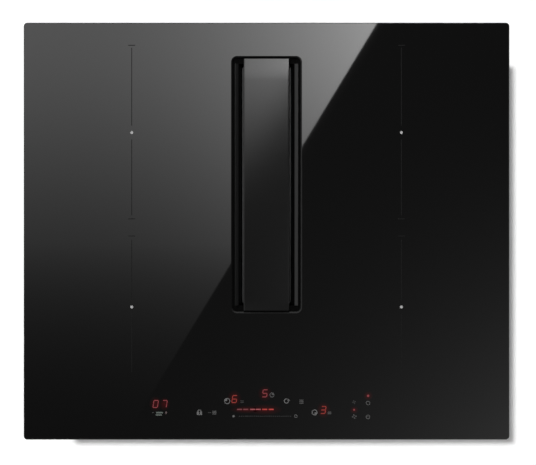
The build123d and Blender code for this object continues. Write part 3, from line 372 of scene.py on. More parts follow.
def dress_frame():
    """Give each carried-over node the material of its slot."""
    for name, node in frame["nodes"].items():
        slot = SLOT_OF[name]
        if slot == "copper_winding":
            low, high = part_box(name)
            longer = (high.x - low.x) / 2 - (high.y - low.y) / 2
            recipe = winding(name, (*middle(name).xy, longer), COIL_CORNER)
        else:
            recipe = FINISH[slot]
        node.data.materials.clear()
        node.data.materials.append(recipe.material)


dress_frame()


# ---------------------------------------------------------------- building pieces

def add_object(name, data):
    made = bpy.data.objects.new(name, data)
    bpy.context.scene.collection.objects.link(made)
    return made


def mesh_from(name, shape):
    """A mesh from a bmesh, which is freed."""
    bmesh.ops.recalc_face_normals(shape, faces=shape.faces)
    mesh = bpy.data.meshes.new(name)
    shape.to_mesh(mesh)
    shape.free()
    return mesh


def mesh_piece(name, shape, recipe, body="chassis", smooth=35.0):
    """A piece on a body; edges sharper than smooth degrees stay sharp, and at 0 its faces stay flat."""
    piece = add_object(name, mesh_from(name, shape))
    piece.data.materials.append(recipe.material)
    if smooth:
        piece.data.shade_smooth()
        piece.data.set_sharp_from_angle(angle=radians(smooth))
    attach(piece, body)
    return piece


def finish_piece(name, shape, slot, body="chassis", smooth=35.0):
    """A piece in its slot's own material."""
    return mesh_piece(name, shape, FINISH[slot], body, smooth)


def carve(piece, cutter_shape):
    """Cut a shape out of a piece's mesh."""
    cutter = add_object("cutter", mesh_from("cutter", cutter_shape))
    step = piece.modifiers.new("cut", "BOOLEAN")
    step.object = cutter
    step.operation = "DIFFERENCE"
    bpy.context.view_layer.update()
    cut = bpy.data.meshes.new_from_object(piece.evaluated_get(bpy.context.evaluated_depsgraph_get()))
    piece.modifiers.clear()
    piece.data = cut
    bpy.data.objects.remove(cutter)


def skin(shape, rings, material=0):
    """Faces between each ring of vertices and the next."""
    for here, there in zip(rings, rings[1:]):
        for index in range(len(here)):
            after = (index + 1) % len(here)
            face = shape.faces.new((here[index], here[after], there[after], there[index]))
            face.material_index = material


def rings_of(shape, loops):
    return [[shape.verts.new(point) for point in loop] for loop in loops]


def solid(shape, loops, material=0):
    """A closed body through loops of points, with a cap at each end."""
    rings = rings_of(shape, loops)
    skin(shape, rings, material)
    for cap in (rings[0][::-1], rings[-1]):
        shape.faces.new(cap).material_index = material


def tube(shape, loops, material=0):
    """A closed body through loops of points, the last of which joins the first."""
    rings = rings_of(shape, loops)
    skin(shape, rings + rings[:1], material)


def level(outline, z):
    return [(x, y, z) for x, y in outline]


def slab(shape, outline, low, high, material=0):
    solid(shape, [level(outline, low), level(outline, high)], material)


# ---------------------------------------------------------------- flat print on the glass

# places and sizes here and in the next section are in mm, from the middle of the glass; rises are in metres

PRINT_RISE = 0.03 * MM


def printed(name, outlines, recipe):
    """Thin printed shapes on the glass: each outline is a closed list of (x, y)."""
    shape = bmesh.new()
    for outline in outlines:
        slab(shape, [(x * MM, y * MM) for x, y in outline], surface, surface + PRINT_RISE)
    mesh_piece(name, shape, recipe, smooth=0)


def circle_angles(sides):
    return [tau * index / sides for index in range(sides)]


def arc(x, y, radius, start, stop, steps):
    """Points along an arc; angles are in degrees, anticlockwise."""
    turns = [radians(start + (stop - start) * i / steps) for i in range(steps + 1)]
    return [(x + radius * cos(a), y + radius * sin(a)) for a in turns]


def bar(start, stop, width):
    """A straight stroke with square ends."""
    start, stop = Vector(start), Vector(stop)
    along = (stop - start).normalized()
    aside = Vector((-along.y, along.x)) * width / 2
    return [tuple(p) for p in (start - aside, stop - aside, stop + aside, start + aside)]


def disc(x, y, radius, sides=24):
    return [(x + radius * cos(a), y + radius * sin(a)) for a in circle_angles(sides)]


def band(x, y, radius, start, stop, width, steps=14):
    """A stroke along an arc, as one outline."""
    inner = arc(x, y, radius - width / 2, start, stop, steps)
    return arc(x, y, radius + width / 2, start, stop, steps) + inner[::-1]


def hoop(x, y, radius, width):
    return [band(x, y, radius, start, start + 180, width) for start in (0, 180)]


def patch(x, y, width, height):
    """A rectangle about its middle."""
    return bar((x - width / 2, y), (x + width / 2, y), height)


def pie(x, y, radius, start, steps=6):
    """A quarter of a disc from a start angle."""
    return [(x, y)] + arc(x, y, radius, start, start + 90, steps)


def ink(name, strength, tone=(1.0, 1.0, 1.0)):
    """Matte ceramic print, slightly uneven."""
    recipe = Recipe(name)
    low, high = (tuple(strength * share * part for part in tone) for share in (0.85, 1.15))
    recipe.colour(recipe.noise(1400, 3), low, high).set(roughness=0.6)
    return recipe.fixed("Specular IOR Level", 0.1)


# how much of its own light's colour an unlit lamp has
LAMP_BODY = 0.06


def lamp_light(name, colour):
    """Light from a display behind the glass, a little uneven."""
    recipe = Recipe(name)
    recipe.set(base_color=(*(part * LAMP_BODY for part in colour), 1), roughness=0.4)
    recipe.feed(recipe.shader.inputs["Emission Color"], (*colour, 1))
    recipe.set(emission_strength=recipe.span(recipe.noise(700, 2), 0.8, 1.2, 0.3, 0.7))
    return recipe.fixed("Specular IOR Level", 0.1)


LINE_INK = ink("line_ink", 0.008)
DOT_INK = ink("dot_ink", 0.42)
BRIGHT_INK = ink("bright_ink", 0.13)
ICON_INK = ink("icon_ink", 0.085)
FAINT_INK = ink("faint_ink", 0.045)
GREEN_INK = ink("green_ink", 0.12, tone=(0.85, 1.0, 0.9))
ROSE_INK = ink("rose_ink", 0.13, tone=(1.0, 0.75, 0.75))
RED_GLOW = lamp_light("red_glow", (0.40, 0.048, 0.042))
ROSE_GLOW = lamp_light("rose_glow", (0.29, 0.072, 0.08))
DIGIT_RED = lamp_light("digit_red", (0.25, 0.036, 0.03))
DIGIT_ROSE = lamp_light("digit_rose", (0.21, 0.042, 0.048))
DIM_GLOW = lamp_light("dim_glow", (0.16, 0.045, 0.05))

LINE_WIDTH = 0.85
TICK_WIDTH = 1.0
TICK_HALF = 4.2
DOT_RADIUS = 1.75
DOT_GAP = 8.5
# ends of the zone lines away from their dots, and the ticks that close them
REAR_ENDS = (226.5, 19.5)
FRONT_ENDS = (-10.6, -174.0)
TICKS = (229.5, 15.2, -6.0)


def print_zones():
    """Zone lines, their ticks and the dots in the middle of each zone."""
    rear, front = middle("coil_rear_right") / MM, middle("coil_front_right") / MM
    lines = []
    dots = []
    for side in (-1, 1):
        x = side * rear.x
        for y, (top, foot) in ((rear.y, REAR_ENDS), (front.y, FRONT_ENDS)):
            lines.append(bar((x, top), (x, y + DOT_GAP), LINE_WIDTH))
            lines.append(bar((x, y - DOT_GAP), (x, foot), LINE_WIDTH))
            dots.append(disc(x, y, DOT_RADIUS))
        lines += [bar((x - TICK_HALF, y), (x + TICK_HALF, y), TICK_WIDTH) for y in TICKS]
    printed("zone_lines", lines, LINE_INK)
    printed("zone_dots", dots, DOT_INK)


# seven-segment digits: which bars each one lights
SEGMENTS = {"0": "abcdef", "3": "abcdg", "5": "acdfg", "6": "acdefg", "7": "abc"}
DIGIT_SLANT = 0.16
# space between two bars, as a share of their thickness
DIGIT_GAP = 0.28


def digit(mark, x, y, width, height, thick):
    """Bars of one slanted digit; x and y are its middle."""
    gap = thick * DIGIT_GAP
    half_w, half_h = (width - thick) / 2, (height - thick) / 2
    ends = {
        "a": ((-half_w + gap, half_h), (half_w - gap, half_h)),
        "b": ((half_w, half_h - gap), (half_w, gap)),
        "c": ((half_w, -gap), (half_w, -half_h + gap)),
        "d": ((-half_w + gap, -half_h), (half_w - gap, -half_h)),
        "e": ((-half_w, -gap), (-half_w, -half_h + gap)),
        "f": ((-half_w, half_h - gap), (-half_w, gap)),
        "g": ((-half_w + gap, 0), (half_w - gap, 0)),
    }
    shapes = []
    for segment in SEGMENTS[mark]:
        quad = bar(*ends[segment], thick)
        shapes.append([(x + px + py * DIGIT_SLANT, y + py) for px, py in quad])
    return shapes


print_zones()


# ---------------------------------------------------------------- controls printed on the glass

DIGIT_PLACES = {"0": (-136.9, -213.4), "7": (-126.0, -213.4), "6": (-39.6, -207.3),
                "5": (-2.0, -200.3), "3": (70.1, -220.8)}
DIGIT_SIZE = (6.6, 9.8)
DIGIT_THICK = 1.1
BRIGHT_DIGITS = "63"
# a zone sign's stroke, as a share of its size
SIGN_STROKE = 0.14


def print_digits():
    """Seven-segment digits; two of the displays are lit more brightly."""
    for name, recipe, wanted in (("digits_bright", DIGIT_RED, True), ("digits_dim", DIGIT_ROSE, False)):
        shapes = []
        for mark, place in DIGIT_PLACES.items():
            if (mark in BRIGHT_DIGITS) == wanted:
                shapes += digit(mark, *place, *DIGIT_SIZE, DIGIT_THICK)
        printed(name, shapes, recipe)


def zone_mark(x, y, size, quarter):
    """A ring with one filled quarter, which says which zone the key is for."""
    stroke = size * SIGN_STROKE
    radius = (size - stroke) / 2
    return hoop(x, y, radius, stroke) + [pie(x, y, radius - stroke / 2, quarter)]


def padlock(x, y):
    """A body with a keyhole slit, under a round shackle."""
    halves = [patch(x + side * 1.9, y - 0.9, 2.7, 3.4) for side in (-1, 1)]
    return halves + [patch(x, y - 3.0, 6.5, 0.8), band(x, y + 0.8, 2.0, 0, 180, 0.9)]


def power_mark(x, y):
    return [band(x, y, 2.2, 125, 415, 1.0, 20), bar((x, y + 0.4), (x, y + 3.0), 1.0)]


def turn_mark(x, y, radius):
    """A ring that ends in an arrow head."""
    head = [(x + radius - 1.5, y + 0.2), (x + radius + 1.7, y + 0.2), (x + radius + 0.1, y + 2.6)]
    return [band(x, y, radius, 55, 350, 1.1, 20), head]


def fan_mark(x, y, reach=3.0):
    """Four blades round a middle."""
    blades = []
    for start in (0, 90, 180, 270):
        a = radians(start)
        along, aside = (cos(a), sin(a)), (-sin(a), cos(a))
        leaf = ((0.5, 0.0), (reach * 0.55, -0.35), (reach, 0.1), (reach * 0.9, 1.2), (reach * 0.45, 1.0))
        blades.append([(x + r * along[0] + t * aside[0], y + r * along[1] + t * aside[1]) for r, t in leaf])
    return blades


def lines_mark(x, y, width, count, pitch=1.9, thick=1.0):
    """A short stack of level bars."""
    return [patch(x, y + (index - (count - 1) / 2) * pitch, width, thick) for index in range(count)]


def print_marks():
    """Plain key signs beside the displays, in inks of several strengths."""
    bright = zone_mark(-48.6, -209.8, 7.5, 90) + zone_mark(59.3, -223.8, 7.2, 270)
    bright += padlock(-82.8, -223.6) + turn_mark(24.5, -209.7, 2.6) + [disc(-40.7, -228.5, 1.5, 16)]
    printed("marks_bright", bright, BRIGHT_INK)
    medium = zone_mark(6.7, -202.3, 6.0, 0) + lines_mark(-64.5, -224.1, 5.0, 3, 1.7)
    medium += hoop(125.3, -212.2, 2.2, 0.9) + power_mark(125.2, -229.4) + fan_mark(108.3, -228.9)
    medium += hoop(36.2, -228.5, 1.6, 0.9) + lines_mark(77.7, -224.5, 4.6, 2, 2.0)
    medium += lines_mark(43.0, -210.6, 5.0, 3, 1.9)
    printed("marks_middle", medium, ICON_INK)
    dim = lines_mark(-30.3, -210.6, 4.0, 2) + fan_mark(108.0, -211.0, 2.2)
    dim += [patch(-70.4, -224.1, 4.0, 0.9), patch(-140.2, -224.1, 2.2, 1.0)]
    printed("marks_dim", dim, FAINT_INK)
    plus = [patch(-124.0, -224.1, 2.4, 0.9)]
    plus += [patch(-124.0, y, 0.9, 1.2) for y in (-223.05, -225.15)]
    printed("mark_plus", plus, ROSE_INK)
    bars = [patch(-132.2, -224.1, 8.5, 1.9), patch(-133.0, -227.0, 7.8, 1.5)]
    printed("display_bars", bars, GREEN_INK)


# the level bar: middles of its dashes, and how bright each of the three groups is
DASH_Y = -220.1
DASH_SIZE = (6.2, 1.6)
DASH_GROUPS = {"dashes_low": (-33.4, -25.7), "dashes_middle": (-17.2, -10.2), "dashes_high": (-2.3, 5.7)}
SLIDER_Y = -228.5
SLIDER_START = -33.4
SLIDER_STOP = 29.8
SLIDER_DOTS = 28
SLIDER_RADIUS = 0.62


def print_level_bar():
    """Red dashes that brighten to the right, and the row of dots where a finger slides."""
    for (name, places), recipe in zip(DASH_GROUPS.items(), (DIM_GLOW, ROSE_GLOW, RED_GLOW)):
        printed(name, [patch(x, DASH_Y, *DASH_SIZE) for x in places], recipe)
    pitch = (SLIDER_STOP - SLIDER_START) / (SLIDER_DOTS - 1)
    dots = [disc(SLIDER_START + index * pitch, SLIDER_Y, SLIDER_RADIUS, 10) for index in range(SLIDER_DOTS)]
    printed("slider_dots", dots, FAINT_INK)


def print_lamps():
    """Two small signal lamps over the fan keys."""
    lamps = [disc(108.1, -220.6, 1.15, 16), disc(125.4, -203.3, 1.5, 16)]
    printed("signal_lamps", lamps, DIGIT_ROSE)


# where light bleeds round a lit mark: its middle and its reach each way
BLEEDS = [(-137.0, -213.4, 8.0, 9.5), (-126.0, -213.4, 7.0, 8.5), (-39.8, -207.0, 9.0, 11.0),
          (-2.0, -200.6, 9.0, 10.0), (70.5, -221.0, 9.0, 10.5), (-24.0, -220.4, 22.0, 5.0),
          (-2.0, -220.4, 22.0, 7.0), (108.1, -220.8, 5.5, 5.0), (125.4, -203.3, 6.0, 6.0)]
BLEED_RISE = 0.012 * MM
BLEED_RINGS = (0.45, 0.7, 1.0)
BLEED_SIDES = 28
BLEED_FADE = 1.3
BLEED_COLOUR = (0.026, 0.0008, 0.0012)


def bleed_material():
    """Clear glass over a red light that fades from the middle of the mark outwards."""
    recipe = Recipe("red_bleed")
    fade = recipe.node("ShaderNodeAttribute", attribute_name="fade").outputs["Fac"]
    strength = recipe.scaled(fade, recipe.span(recipe.noise(400, 2), 0.8, 1.2))
    recipe.colour(fade, grey(0.0016), (0.01, 0.001, 0.001))
    recipe.set(roughness=recipe.span(recipe.noise(9, 4), 0.012, 0.03), emission_strength=strength)
    recipe.feed(recipe.shader.inputs["Emission Color"], (*BLEED_COLOUR, 1))
    return recipe.fixed("IOR", 1.5)


def print_bleeds():
    """Thin oval lenses whose fade runs from 1 at the middle to 0 at the rim."""
    shape = bmesh.new()
    fade = shape.verts.layers.float.new("fade")
    for x, y, wide, deep in BLEEDS:
        rings = []
        for share in (0, *BLEED_RINGS):
            z = surface + (BLEED_RISE if share < 1 else 0)
            turns = circle_angles(BLEED_SIDES) if share else [0]
            outline = [(x + share * wide * cos(a), y + share * deep * sin(a)) for a in turns]
            rings.append([shape.verts.new((u * MM, v * MM, z)) for u, v in outline])
            for vert in rings[-1]:
                vert[fade] = (1 - share) ** BLEED_FADE
        peak, first, last = rings[0][0], rings[1], rings[-1]
        for turn in range(BLEED_SIDES):
            shape.faces.new((peak, first[turn], first[(turn + 1) % BLEED_SIDES]))
        skin(shape, rings[1:])
        shape.faces.new(last[::-1])
    mesh_piece("red_bleeds", shape, bleed_material(), smooth=0)


print_bleeds()
print_digits()
print_marks()
print_level_bar()
print_lamps()


# ---------------------------------------------------------------- outlines of the added pieces

def rectangle(width, depth, y=0.0):
    x, half = width / 2, depth / 2
    return [(-x, y - half), (x, y - half), (x, y + half), (-x, y + half)]


def round_rectangle(width, depth, corner, y=0.0, steps=10):
    """A rectangle with true round corners."""
    points = []
    for start, sx, sy in ((0, 1, 1), (90, -1, 1), (180, -1, -1), (270, 1, -1)):
        centre = (sx * (width / 2 - corner), y + sy * (depth / 2 - corner))
        points += arc(*centre, corner, start, start + 90, steps)
    return points


def rounded(points, radii, steps=4):
    """A closed outline whose corners are cut by short arcs, with one radius for each corner."""
    out = []
    for index, size in enumerate(radii):
        here = Vector(points[index])
        if size <= 0:
            out.append(tuple(here))
            continue
        start, stop = (here + (Vector(points[other % len(points)]) - here).normalized() * size
                       for other in (index - 1, index + 1))
        for step in range(steps + 1):
            share = step / steps
            out.append(tuple(start.lerp(here, share).lerp(here.lerp(stop, share), share)))
    return out


# ---------------------------------------------------------------- the flap, as one finely curved sheet

FLAP_ROUND = 1.3 * MM
FLAP_CROWN = 0.22 * MM
FLAP_SKIN = 2.0 * MM
FLAP_STEPS = 24
FLAP_TURNS = 8
FLAP_BAYS = 12
FLAP_END_ROUND = 0.5 * MM
# the rounding at an end, as shares of its size: how far in from the end, and how far down
FLAP_END = ((0.0, 1.0), (0.14, 0.5), (0.45, 0.14), (1.0, 0.0))


def flap_half_profile():
    """Right half of the flap's outside, from the middle of its top to its foot: (x, z) points."""
    flat = flap_high.x - FLAP_ROUND
    slope = 2 * FLAP_CROWN / flat
    lean = slope / sqrt(1 + slope * slope)
    shares = [index / FLAP_STEPS for index in range(FLAP_STEPS + 1)]
    points = [(flat * share, flap_high.z - FLAP_CROWN * share ** 2) for share in shares]
    for index in range(1, FLAP_TURNS + 1):
        left = 1 - index / FLAP_TURNS
        a = radians(90) * left
        reach = FLAP_ROUND * cos(a)
        drop = FLAP_ROUND * (1 - sin(a)) + lean * reach * left
        points.append((flat + reach, flap_high.z - FLAP_CROWN - drop))
    points.append((flap_high.x, flap_low.z))
    return points


def make_flap():
    """A crowned tray whose long edges and ends are rounded, hollow underneath."""
    half = flap_half_profile()
    section = [(-x, z) for x, z in reversed(half[1:])] + half
    front, rear = flap_low.y, flap_high.y
    ends = [(share * FLAP_END_ROUND, drop * FLAP_END_ROUND) for share, drop in FLAP_END]
    bay = (rear - front - 2 * FLAP_END_ROUND) / FLAP_BAYS
    stations = [(front + reach, drop) for reach, drop in ends]
    stations += [(front + FLAP_END_ROUND + bay * index, 0.0) for index in range(1, FLAP_BAYS)]
    stations += [(rear - reach, drop) for reach, drop in reversed(ends)]
    shape = bmesh.new()
    solid(shape, [[(x, y, max(z - drop, flap_low.z)) for x, z in section] for y, drop in stations])
    piece = finish_piece("flap_sheet", shape, "flap_black", "flap")
    hollow = bmesh.new()
    width = flap_high.x - flap_low.x
    inside = rectangle(width - 2 * FLAP_SKIN, rear - front - 2 * FLAP_SKIN, (front + rear) / 2)
    ceiling = flap_high.z - FLAP_CROWN - FLAP_SKIN
    slab(hollow, inside, 2 * flap_low.z - ceiling, ceiling)
    carve(piece, hollow)
    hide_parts("flap")


make_flap()


# ---------------------------------------------------------------- the intake's frame

APERTURE = (86.0 * MM, 316.0 * MM)
PLATE_THICK = 1.8 * MM
PLATE_CORNER = 4.5 * MM
WINDOW_CORNER = 0.05 * MM
RIDGE_OUTER = 39.0 * MM
RIDGE_INNER = 34.4 * MM
RIDGE_SPAN = 36.5 * MM
RIDGE_HALF_LENGTH = 149.4 * MM
RIDGE_TILT = 2.1 * MM
WELL_HALF = 31.5 * MM
SKIRT = 2.0 * MM
LEDGE_HALF = 162.0 * MM
LEDGE_TOP = 0.0
LEDGE_THICK = 2.0 * MM
# which of the moulding's two materials is the dull one
DULL = 1


def ridge_profile():
    """Right ridge across X: a top that slopes inwards, then the steep lip that leads the air down."""
    base = gasket_low.z - PLATE_THICK
    foot = channel_high.z
    points = [(RIDGE_OUTER, base), (RIDGE_OUTER, frame_high.z), (RIDGE_INNER, frame_high.z - RIDGE_TILT),
              (WELL_HALF, foot), (WELL_HALF + SKIRT, foot), (RIDGE_SPAN, base)]
    return rounded(points, (0, 0.5 * MM, 0.7 * MM, 0.3 * MM, 0, 0))


def hollow_slab(shape, outer, inner, low, high):
    """A dull wall between two outlines that have as many points each."""
    tube(shape, [level(outer, low), level(outer, high), level(inner, high), level(inner, low)], DULL)


def make_intake_frame():
    """Ridges with sloping lips in satin; the plate, ledges, end walls and skirt round them are dull."""
    shape = bmesh.new()
    for side in (-1, 1):
        solid(shape, [[(side * x, y, z) for x, z in ridge_profile()]
                      for y in (aperture_y - RIDGE_HALF_LENGTH, aperture_y + RIDGE_HALF_LENGTH)])
    outer = rectangle(frame_high.x - frame_low.x, frame_high.y - frame_low.y, aperture_y)
    window = rectangle(2 * RIDGE_SPAN, APERTURE[1], aperture_y)
    hollow_slab(shape, rounded(outer, [PLATE_CORNER] * 4), rounded(window, [WINDOW_CORNER] * 4),
                gasket_low.z - PLATE_THICK, gasket_low.z)
    skirt_outer = rectangle(2 * (WELL_HALF + SKIRT), 2 * (RIDGE_HALF_LENGTH + SKIRT), aperture_y)
    skirt_inner = rectangle(2 * WELL_HALF, 2 * RIDGE_HALF_LENGTH, aperture_y)
    hollow_slab(shape, skirt_outer, skirt_inner, frame_low.z, channel_high.z)
    width = 2 * (RIDGE_SPAN + SKIRT)
    ledge_foot = LEDGE_TOP - LEDGE_THICK
    for side in (-1, 1):
        ledge_y = aperture_y + side * (LEDGE_HALF + RIDGE_HALF_LENGTH) / 2
        wall_y = aperture_y + side * (RIDGE_HALF_LENGTH + SKIRT / 2)
        ledge = rectangle(width, LEDGE_HALF - RIDGE_HALF_LENGTH, ledge_y)
        slab(shape, ledge, ledge_foot, LEDGE_TOP, DULL)
        slab(shape, rectangle(width, SKIRT, wall_y), channel_high.z, ledge_foot, DULL)
    piece = finish_piece("intake_moulding", shape, "frame_black", smooth=30.0)
    piece.data.materials.append(frame_matt().material)
    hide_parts("intake_frame")


GLASS_BEVEL = 0.8 * MM
BEVEL_STEP = 1.0 * MM
BEVEL_BACK = 1.5 * MM
APERTURE_CORNER = 6.5 * MM


def make_aperture_bevel():
    """The ground slope that carries the glass edge's bevel down into the aperture."""
    edge = surface - GLASS_BEVEL
    back = edge - BEVEL_BACK
    wide, deep = APERTURE
    outer, inner = (round_rectangle(wide - 2 * step, deep - 2 * step, APERTURE_CORNER - step, aperture_y)
                    for step in (0, BEVEL_STEP))
    shape = bmesh.new()
    tube(shape, [level(outer, edge), level(inner, edge - BEVEL_STEP), level(inner, back), level(outer, back)])
    finish_piece("aperture_bevel", shape, "black_glass", smooth=30.0)


make_intake_frame()
make_aperture_bevel()


# ---------------------------------------------------------------- screws, bolts and rivets

UP = Vector((0, 0, 1))
LOBES = 6
LOBE_SHARE = 0.16


def circle(size, _turn):
    return size


def hexagonal(size, turn):
    """Distance to a hexagon's side; size is to its corners."""
    return size * cos(radians(30)) / cos(turn % radians(60) - radians(30))


def lobed(size, turn):
    """Distance to the side of a recess with round lobes; size is the mean."""
    return size * (1 + LOBE_SHARE * cos(LOBES * turn))


def turned(shape, centre, axis, rings, sides=24):
    """A closed body about an axis; each ring is its outline, and its size and place along the axis in mm."""
    side = axis.orthogonal().normalized()
    other = axis.cross(side)
    loops = []
    for outline, size, height in rings:
        base = Vector(centre) + axis * height * MM
        ways = [(side * cos(a) + other * sin(a), outline(size, a)) for a in circle_angles(sides)]
        loops.append([base + way * reach * MM for way, reach in ways])
    solid(shape, loops)


# a flanged hexagon head with a six-lobed recess, from its seat outwards, in mm
HEAD_RINGS = [(circle, 3.2, 0.0), (circle, 3.7, 0.15), (circle, 3.7, 0.45), (circle, 3.2, 0.75),
              (hexagonal, 3.2, 0.8), (hexagonal, 3.2, 1.9), (circle, 2.75, 2.15), (lobed, 1.3, 2.2),
              (lobed, 1.15, 0.95), (circle, 0.3, 0.7)]
# the shank back from the seat, with a pointed tip: radius in mm and share of its length
SHANK_RINGS = [(1.6, 0.0), (1.6, 0.75), (0.3, 1.0)]
SCREW_HEAD = 2.2 * MM


def add_screw(shape, seat, reach):
    """A screw whose head stands down from its seat and whose shank goes up by reach, in metres."""
    turned(shape, seat, -UP, HEAD_RINGS)
    turned(shape, seat, -UP, [(circle, size, -share * reach / MM) for size, share in SHANK_RINGS], 12)


def islands(node):
    """Lowest and highest corner of each separate solid in a node."""
    shape = bmesh.new()
    shape.from_mesh(frame["nodes"][node].data)
    bmesh.ops.remove_doubles(shape, verts=shape.verts, dist=0.01 * MM)
    seen = set()
    boxes = []
    for start in shape.verts:
        if start in seen:
            continue
        queue, members = [start], []
        seen.add(start)
        while queue:
            vert = queue.pop()
            members.append(vert.co.copy())
            for other in (edge.other_vert(vert) for edge in vert.link_edges):
                if other not in seen:
                    seen.add(other)
                    queue.append(other)
        boxes.append(tuple(Vector([pick(point[axis] for point in members) for axis in range(3)])
                           for pick in (min, max)))
    shape.free()
    return sorted(boxes, key=lambda box: tuple(box[0]))


def make_screws():
    """The panel and volute screws, driven upwards."""
    shape = bmesh.new()
    for low, high in islands("screws"):
        seat = low.z + SCREW_HEAD
        add_screw(shape, (*((low + high) / 2).xy, seat), high.z - seat)
    piece = finish_piece("screw_set", shape, SLOT_OF["screws"])
    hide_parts("screws")


THREAD_PITCH = 1.25 * MM
THREAD_DEPTH = 0.55 * MM
THREAD_SIDES = 16
# one turn of the thread: share of the pitch and of the depth below the crest
THREAD_PROFILE = ((0.0, 1.0), (0.35, 0.0), (0.5, 0.0), (0.85, 1.0))
# what a chamfered end leaves of the radius
THREAD_TIP = 0.75


def add_thread(shape, x, y, low, high, radius):
    """A closed threaded rod along Z: a helical strip between two chamfered level ends."""
    rows = []
    for index in range((int((high - low) / THREAD_PITCH) - 1) * THREAD_SIDES):
        a = tau * index / THREAD_SIDES
        base = low + (index / THREAD_SIDES + 0.5) * THREAD_PITCH
        row = []
        for share, sink in THREAD_PROFILE:
            r = radius - sink * THREAD_DEPTH
            row.append(shape.verts.new((x + r * cos(a), y + r * sin(a), base + share * THREAD_PITCH)))
        rows.append(row)
    last = len(THREAD_PROFILE) - 1
    for index, (here, there) in enumerate(zip(rows, rows[1:])):
        for column in range(last):
            shape.faces.new((here[column], there[column], there[column + 1], here[column + 1]))
        above = index + THREAD_SIDES
        if above + 1 < len(rows):
            shape.faces.new((here[last], there[last], rows[above + 1][0], rows[above][0]))
    ends = (([row[0] for row in rows[:THREAD_SIDES + 1]], rows[0][:0:-1], low),
            ([row[last] for row in rows[-THREAD_SIDES - 1:]], rows[-1][last - 1::-1], high))
    for rim, step, z in ends:
        flat = []
        for vert in rim[:-1]:
            out = (vert.co - Vector((x, y, vert.co.z))).normalized()
            flat.append(shape.verts.new(Vector((x, y, z)) + out * radius * THREAD_TIP))
        for index in range(THREAD_SIDES):
            shape.faces.new((rim[index], rim[index + 1], flat[(index + 1) % THREAD_SIDES], flat[index]))
        shape.faces.new([rim[-1], *step, rim[0], flat[0]])
        shape.faces.new(flat)


BOLT_RADIUS = 3.0 * MM
# from the bolt's lower end up, and from the pad's lower end up, in mm
BOLT_HEAD_RINGS = [(circle, 5.1, 0.0), (hexagonal, 6.0, 0.5), (hexagonal, 6.0, 5.3), (circle, 5.1, 6.0)]
BOLT_PAD_RINGS = [(circle, 6.2, 0.0), (circle, 6.8, 0.4), (circle, 6.8, 1.5), (circle, 6.3, 1.8),
                  (circle, 6.8, 2.1), (circle, 7.0, 3.4), (circle, 6.4, 4.0)]
BOLT_SMOOTH = 50.0


def make_clamp_bolt(node):
    """A threaded bolt with a chamfered hexagon head and a ribbed pad on its tip."""
    low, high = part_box(node)
    x, y = middle(node).xy
    neck = low.z + BOLT_HEAD_RINGS[-1][2] * MM
    pad_low = high.z - BOLT_PAD_RINGS[-1][2] * MM
    shape = bmesh.new()
    turned(shape, (x, y, low.z), UP, BOLT_HEAD_RINGS)
    add_thread(shape, x, y, neck, pad_low, BOLT_RADIUS)
    turned(shape, (x, y, pad_low), UP, BOLT_PAD_RINGS)
    body = node.replace("clamp_bolt", "bolt")
    piece = finish_piece(node.replace("clamp_bolt", "threaded_bolt"), shape, SLOT_OF[node], body, BOLT_SMOOTH)
    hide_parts(node)
    return x, y


BRACKET_SHEET = 2.0 * MM
# outside then bore of a nut: outline, size and depth below the bracket, in mm
NUT_RINGS = [(hexagonal, 5.8, 0.0), (hexagonal, 5.8, 5.0), (circle, 3.25, 5.0), (circle, 3.25, 0.0)]
NUT_SIDES = 24


def make_bolts():
    """Four bolts, and the nut welded under each bracket."""
    corners = ("front_left", "front_right", "rear_left", "rear_right")
    places = [make_clamp_bolt(f"clamp_bolt_{corner}") for corner in corners]
    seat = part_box("fixing_brackets")[1].z - BRACKET_SHEET
    shape = bmesh.new()
    for x, y in places:
        loops = []
        for outline, size, depth in NUT_RINGS:
            reaches = [(a, outline(size, a) * MM) for a in circle_angles(NUT_SIDES)]
            loops.append([(x + r * cos(a), y + r * sin(a), seat - depth * MM) for a, r in reaches])
        tube(shape, loops)
    finish_piece("bracket_nuts", shape, "bolt_steel")


make_screws()
make_bolts()


# ---------------------------------------------------------------- trims of the hidden sides

def tree_of(*nodes):
    """A search tree over the meshes of some nodes."""
    verts, faces = [], []
    for name in nodes:
        mesh = frame["nodes"][name].data
        start = len(verts)
        verts += [vert.co.copy() for vert in mesh.vertices]
        faces += [tuple(start + index for index in face.vertices) for face in mesh.polygons]
    return BVHTree.FromPolygons(verts, faces)


def hit(tree, origin, direction):
    """The first point that a ray meets within a metre, or None."""
    return tree.ray_cast(origin, direction, 1.0)[0]


# gussets under the volute's rim: their size, how far they sink in, and how far apart they are
RIB_SIZE = 6.5 * MM
RIB_DROP = 34.0 * MM
RIB_THICK = 2.2 * MM
RIB_SINK = 0.3 * MM
RIB_LIP = 2.0 * MM
RIB_STEP = 15
RIB_ANGLES = range(150, 391, RIB_STEP)
SIDE_RIB_PITCH = 30.0 * MM
# the diffuser's ribs run from here behind the shaft to here before the volute's rear
SIDE_RIB_START = 95 * MM
SIDE_RIB_STOP = 20 * MM
RIM_DROP = 2.5 * MM
# the rays that find the wall start this far out, and this far under the rim
RAY_REACH = 0.4
RAY_DROP = 12 * MM
# room left round each screw head, and how far off a screw no longer matters
HEAD_ROOM = 4.5 * MM
SCREW_NEAR = 30 * MM


def add_rib(shape, root, out):
    """A gusset under a rim: root is its inner top corner and out its level direction."""
    aside = Vector((-out.y, out.x, 0)) * RIB_THICK / 2
    corners = ((-RIB_SINK, 0), (RIB_SIZE, 0), (0.85 * RIB_SIZE, RIB_LIP), (0.25 * RIB_SIZE, RIB_DROP),
               (-RIB_SINK, RIB_DROP + RIB_LIP))
    near = [root + out * reach - UP * drop - aside for reach, drop in corners]
    solid(shape, [near, [corner + aside * 2 for corner in near]])


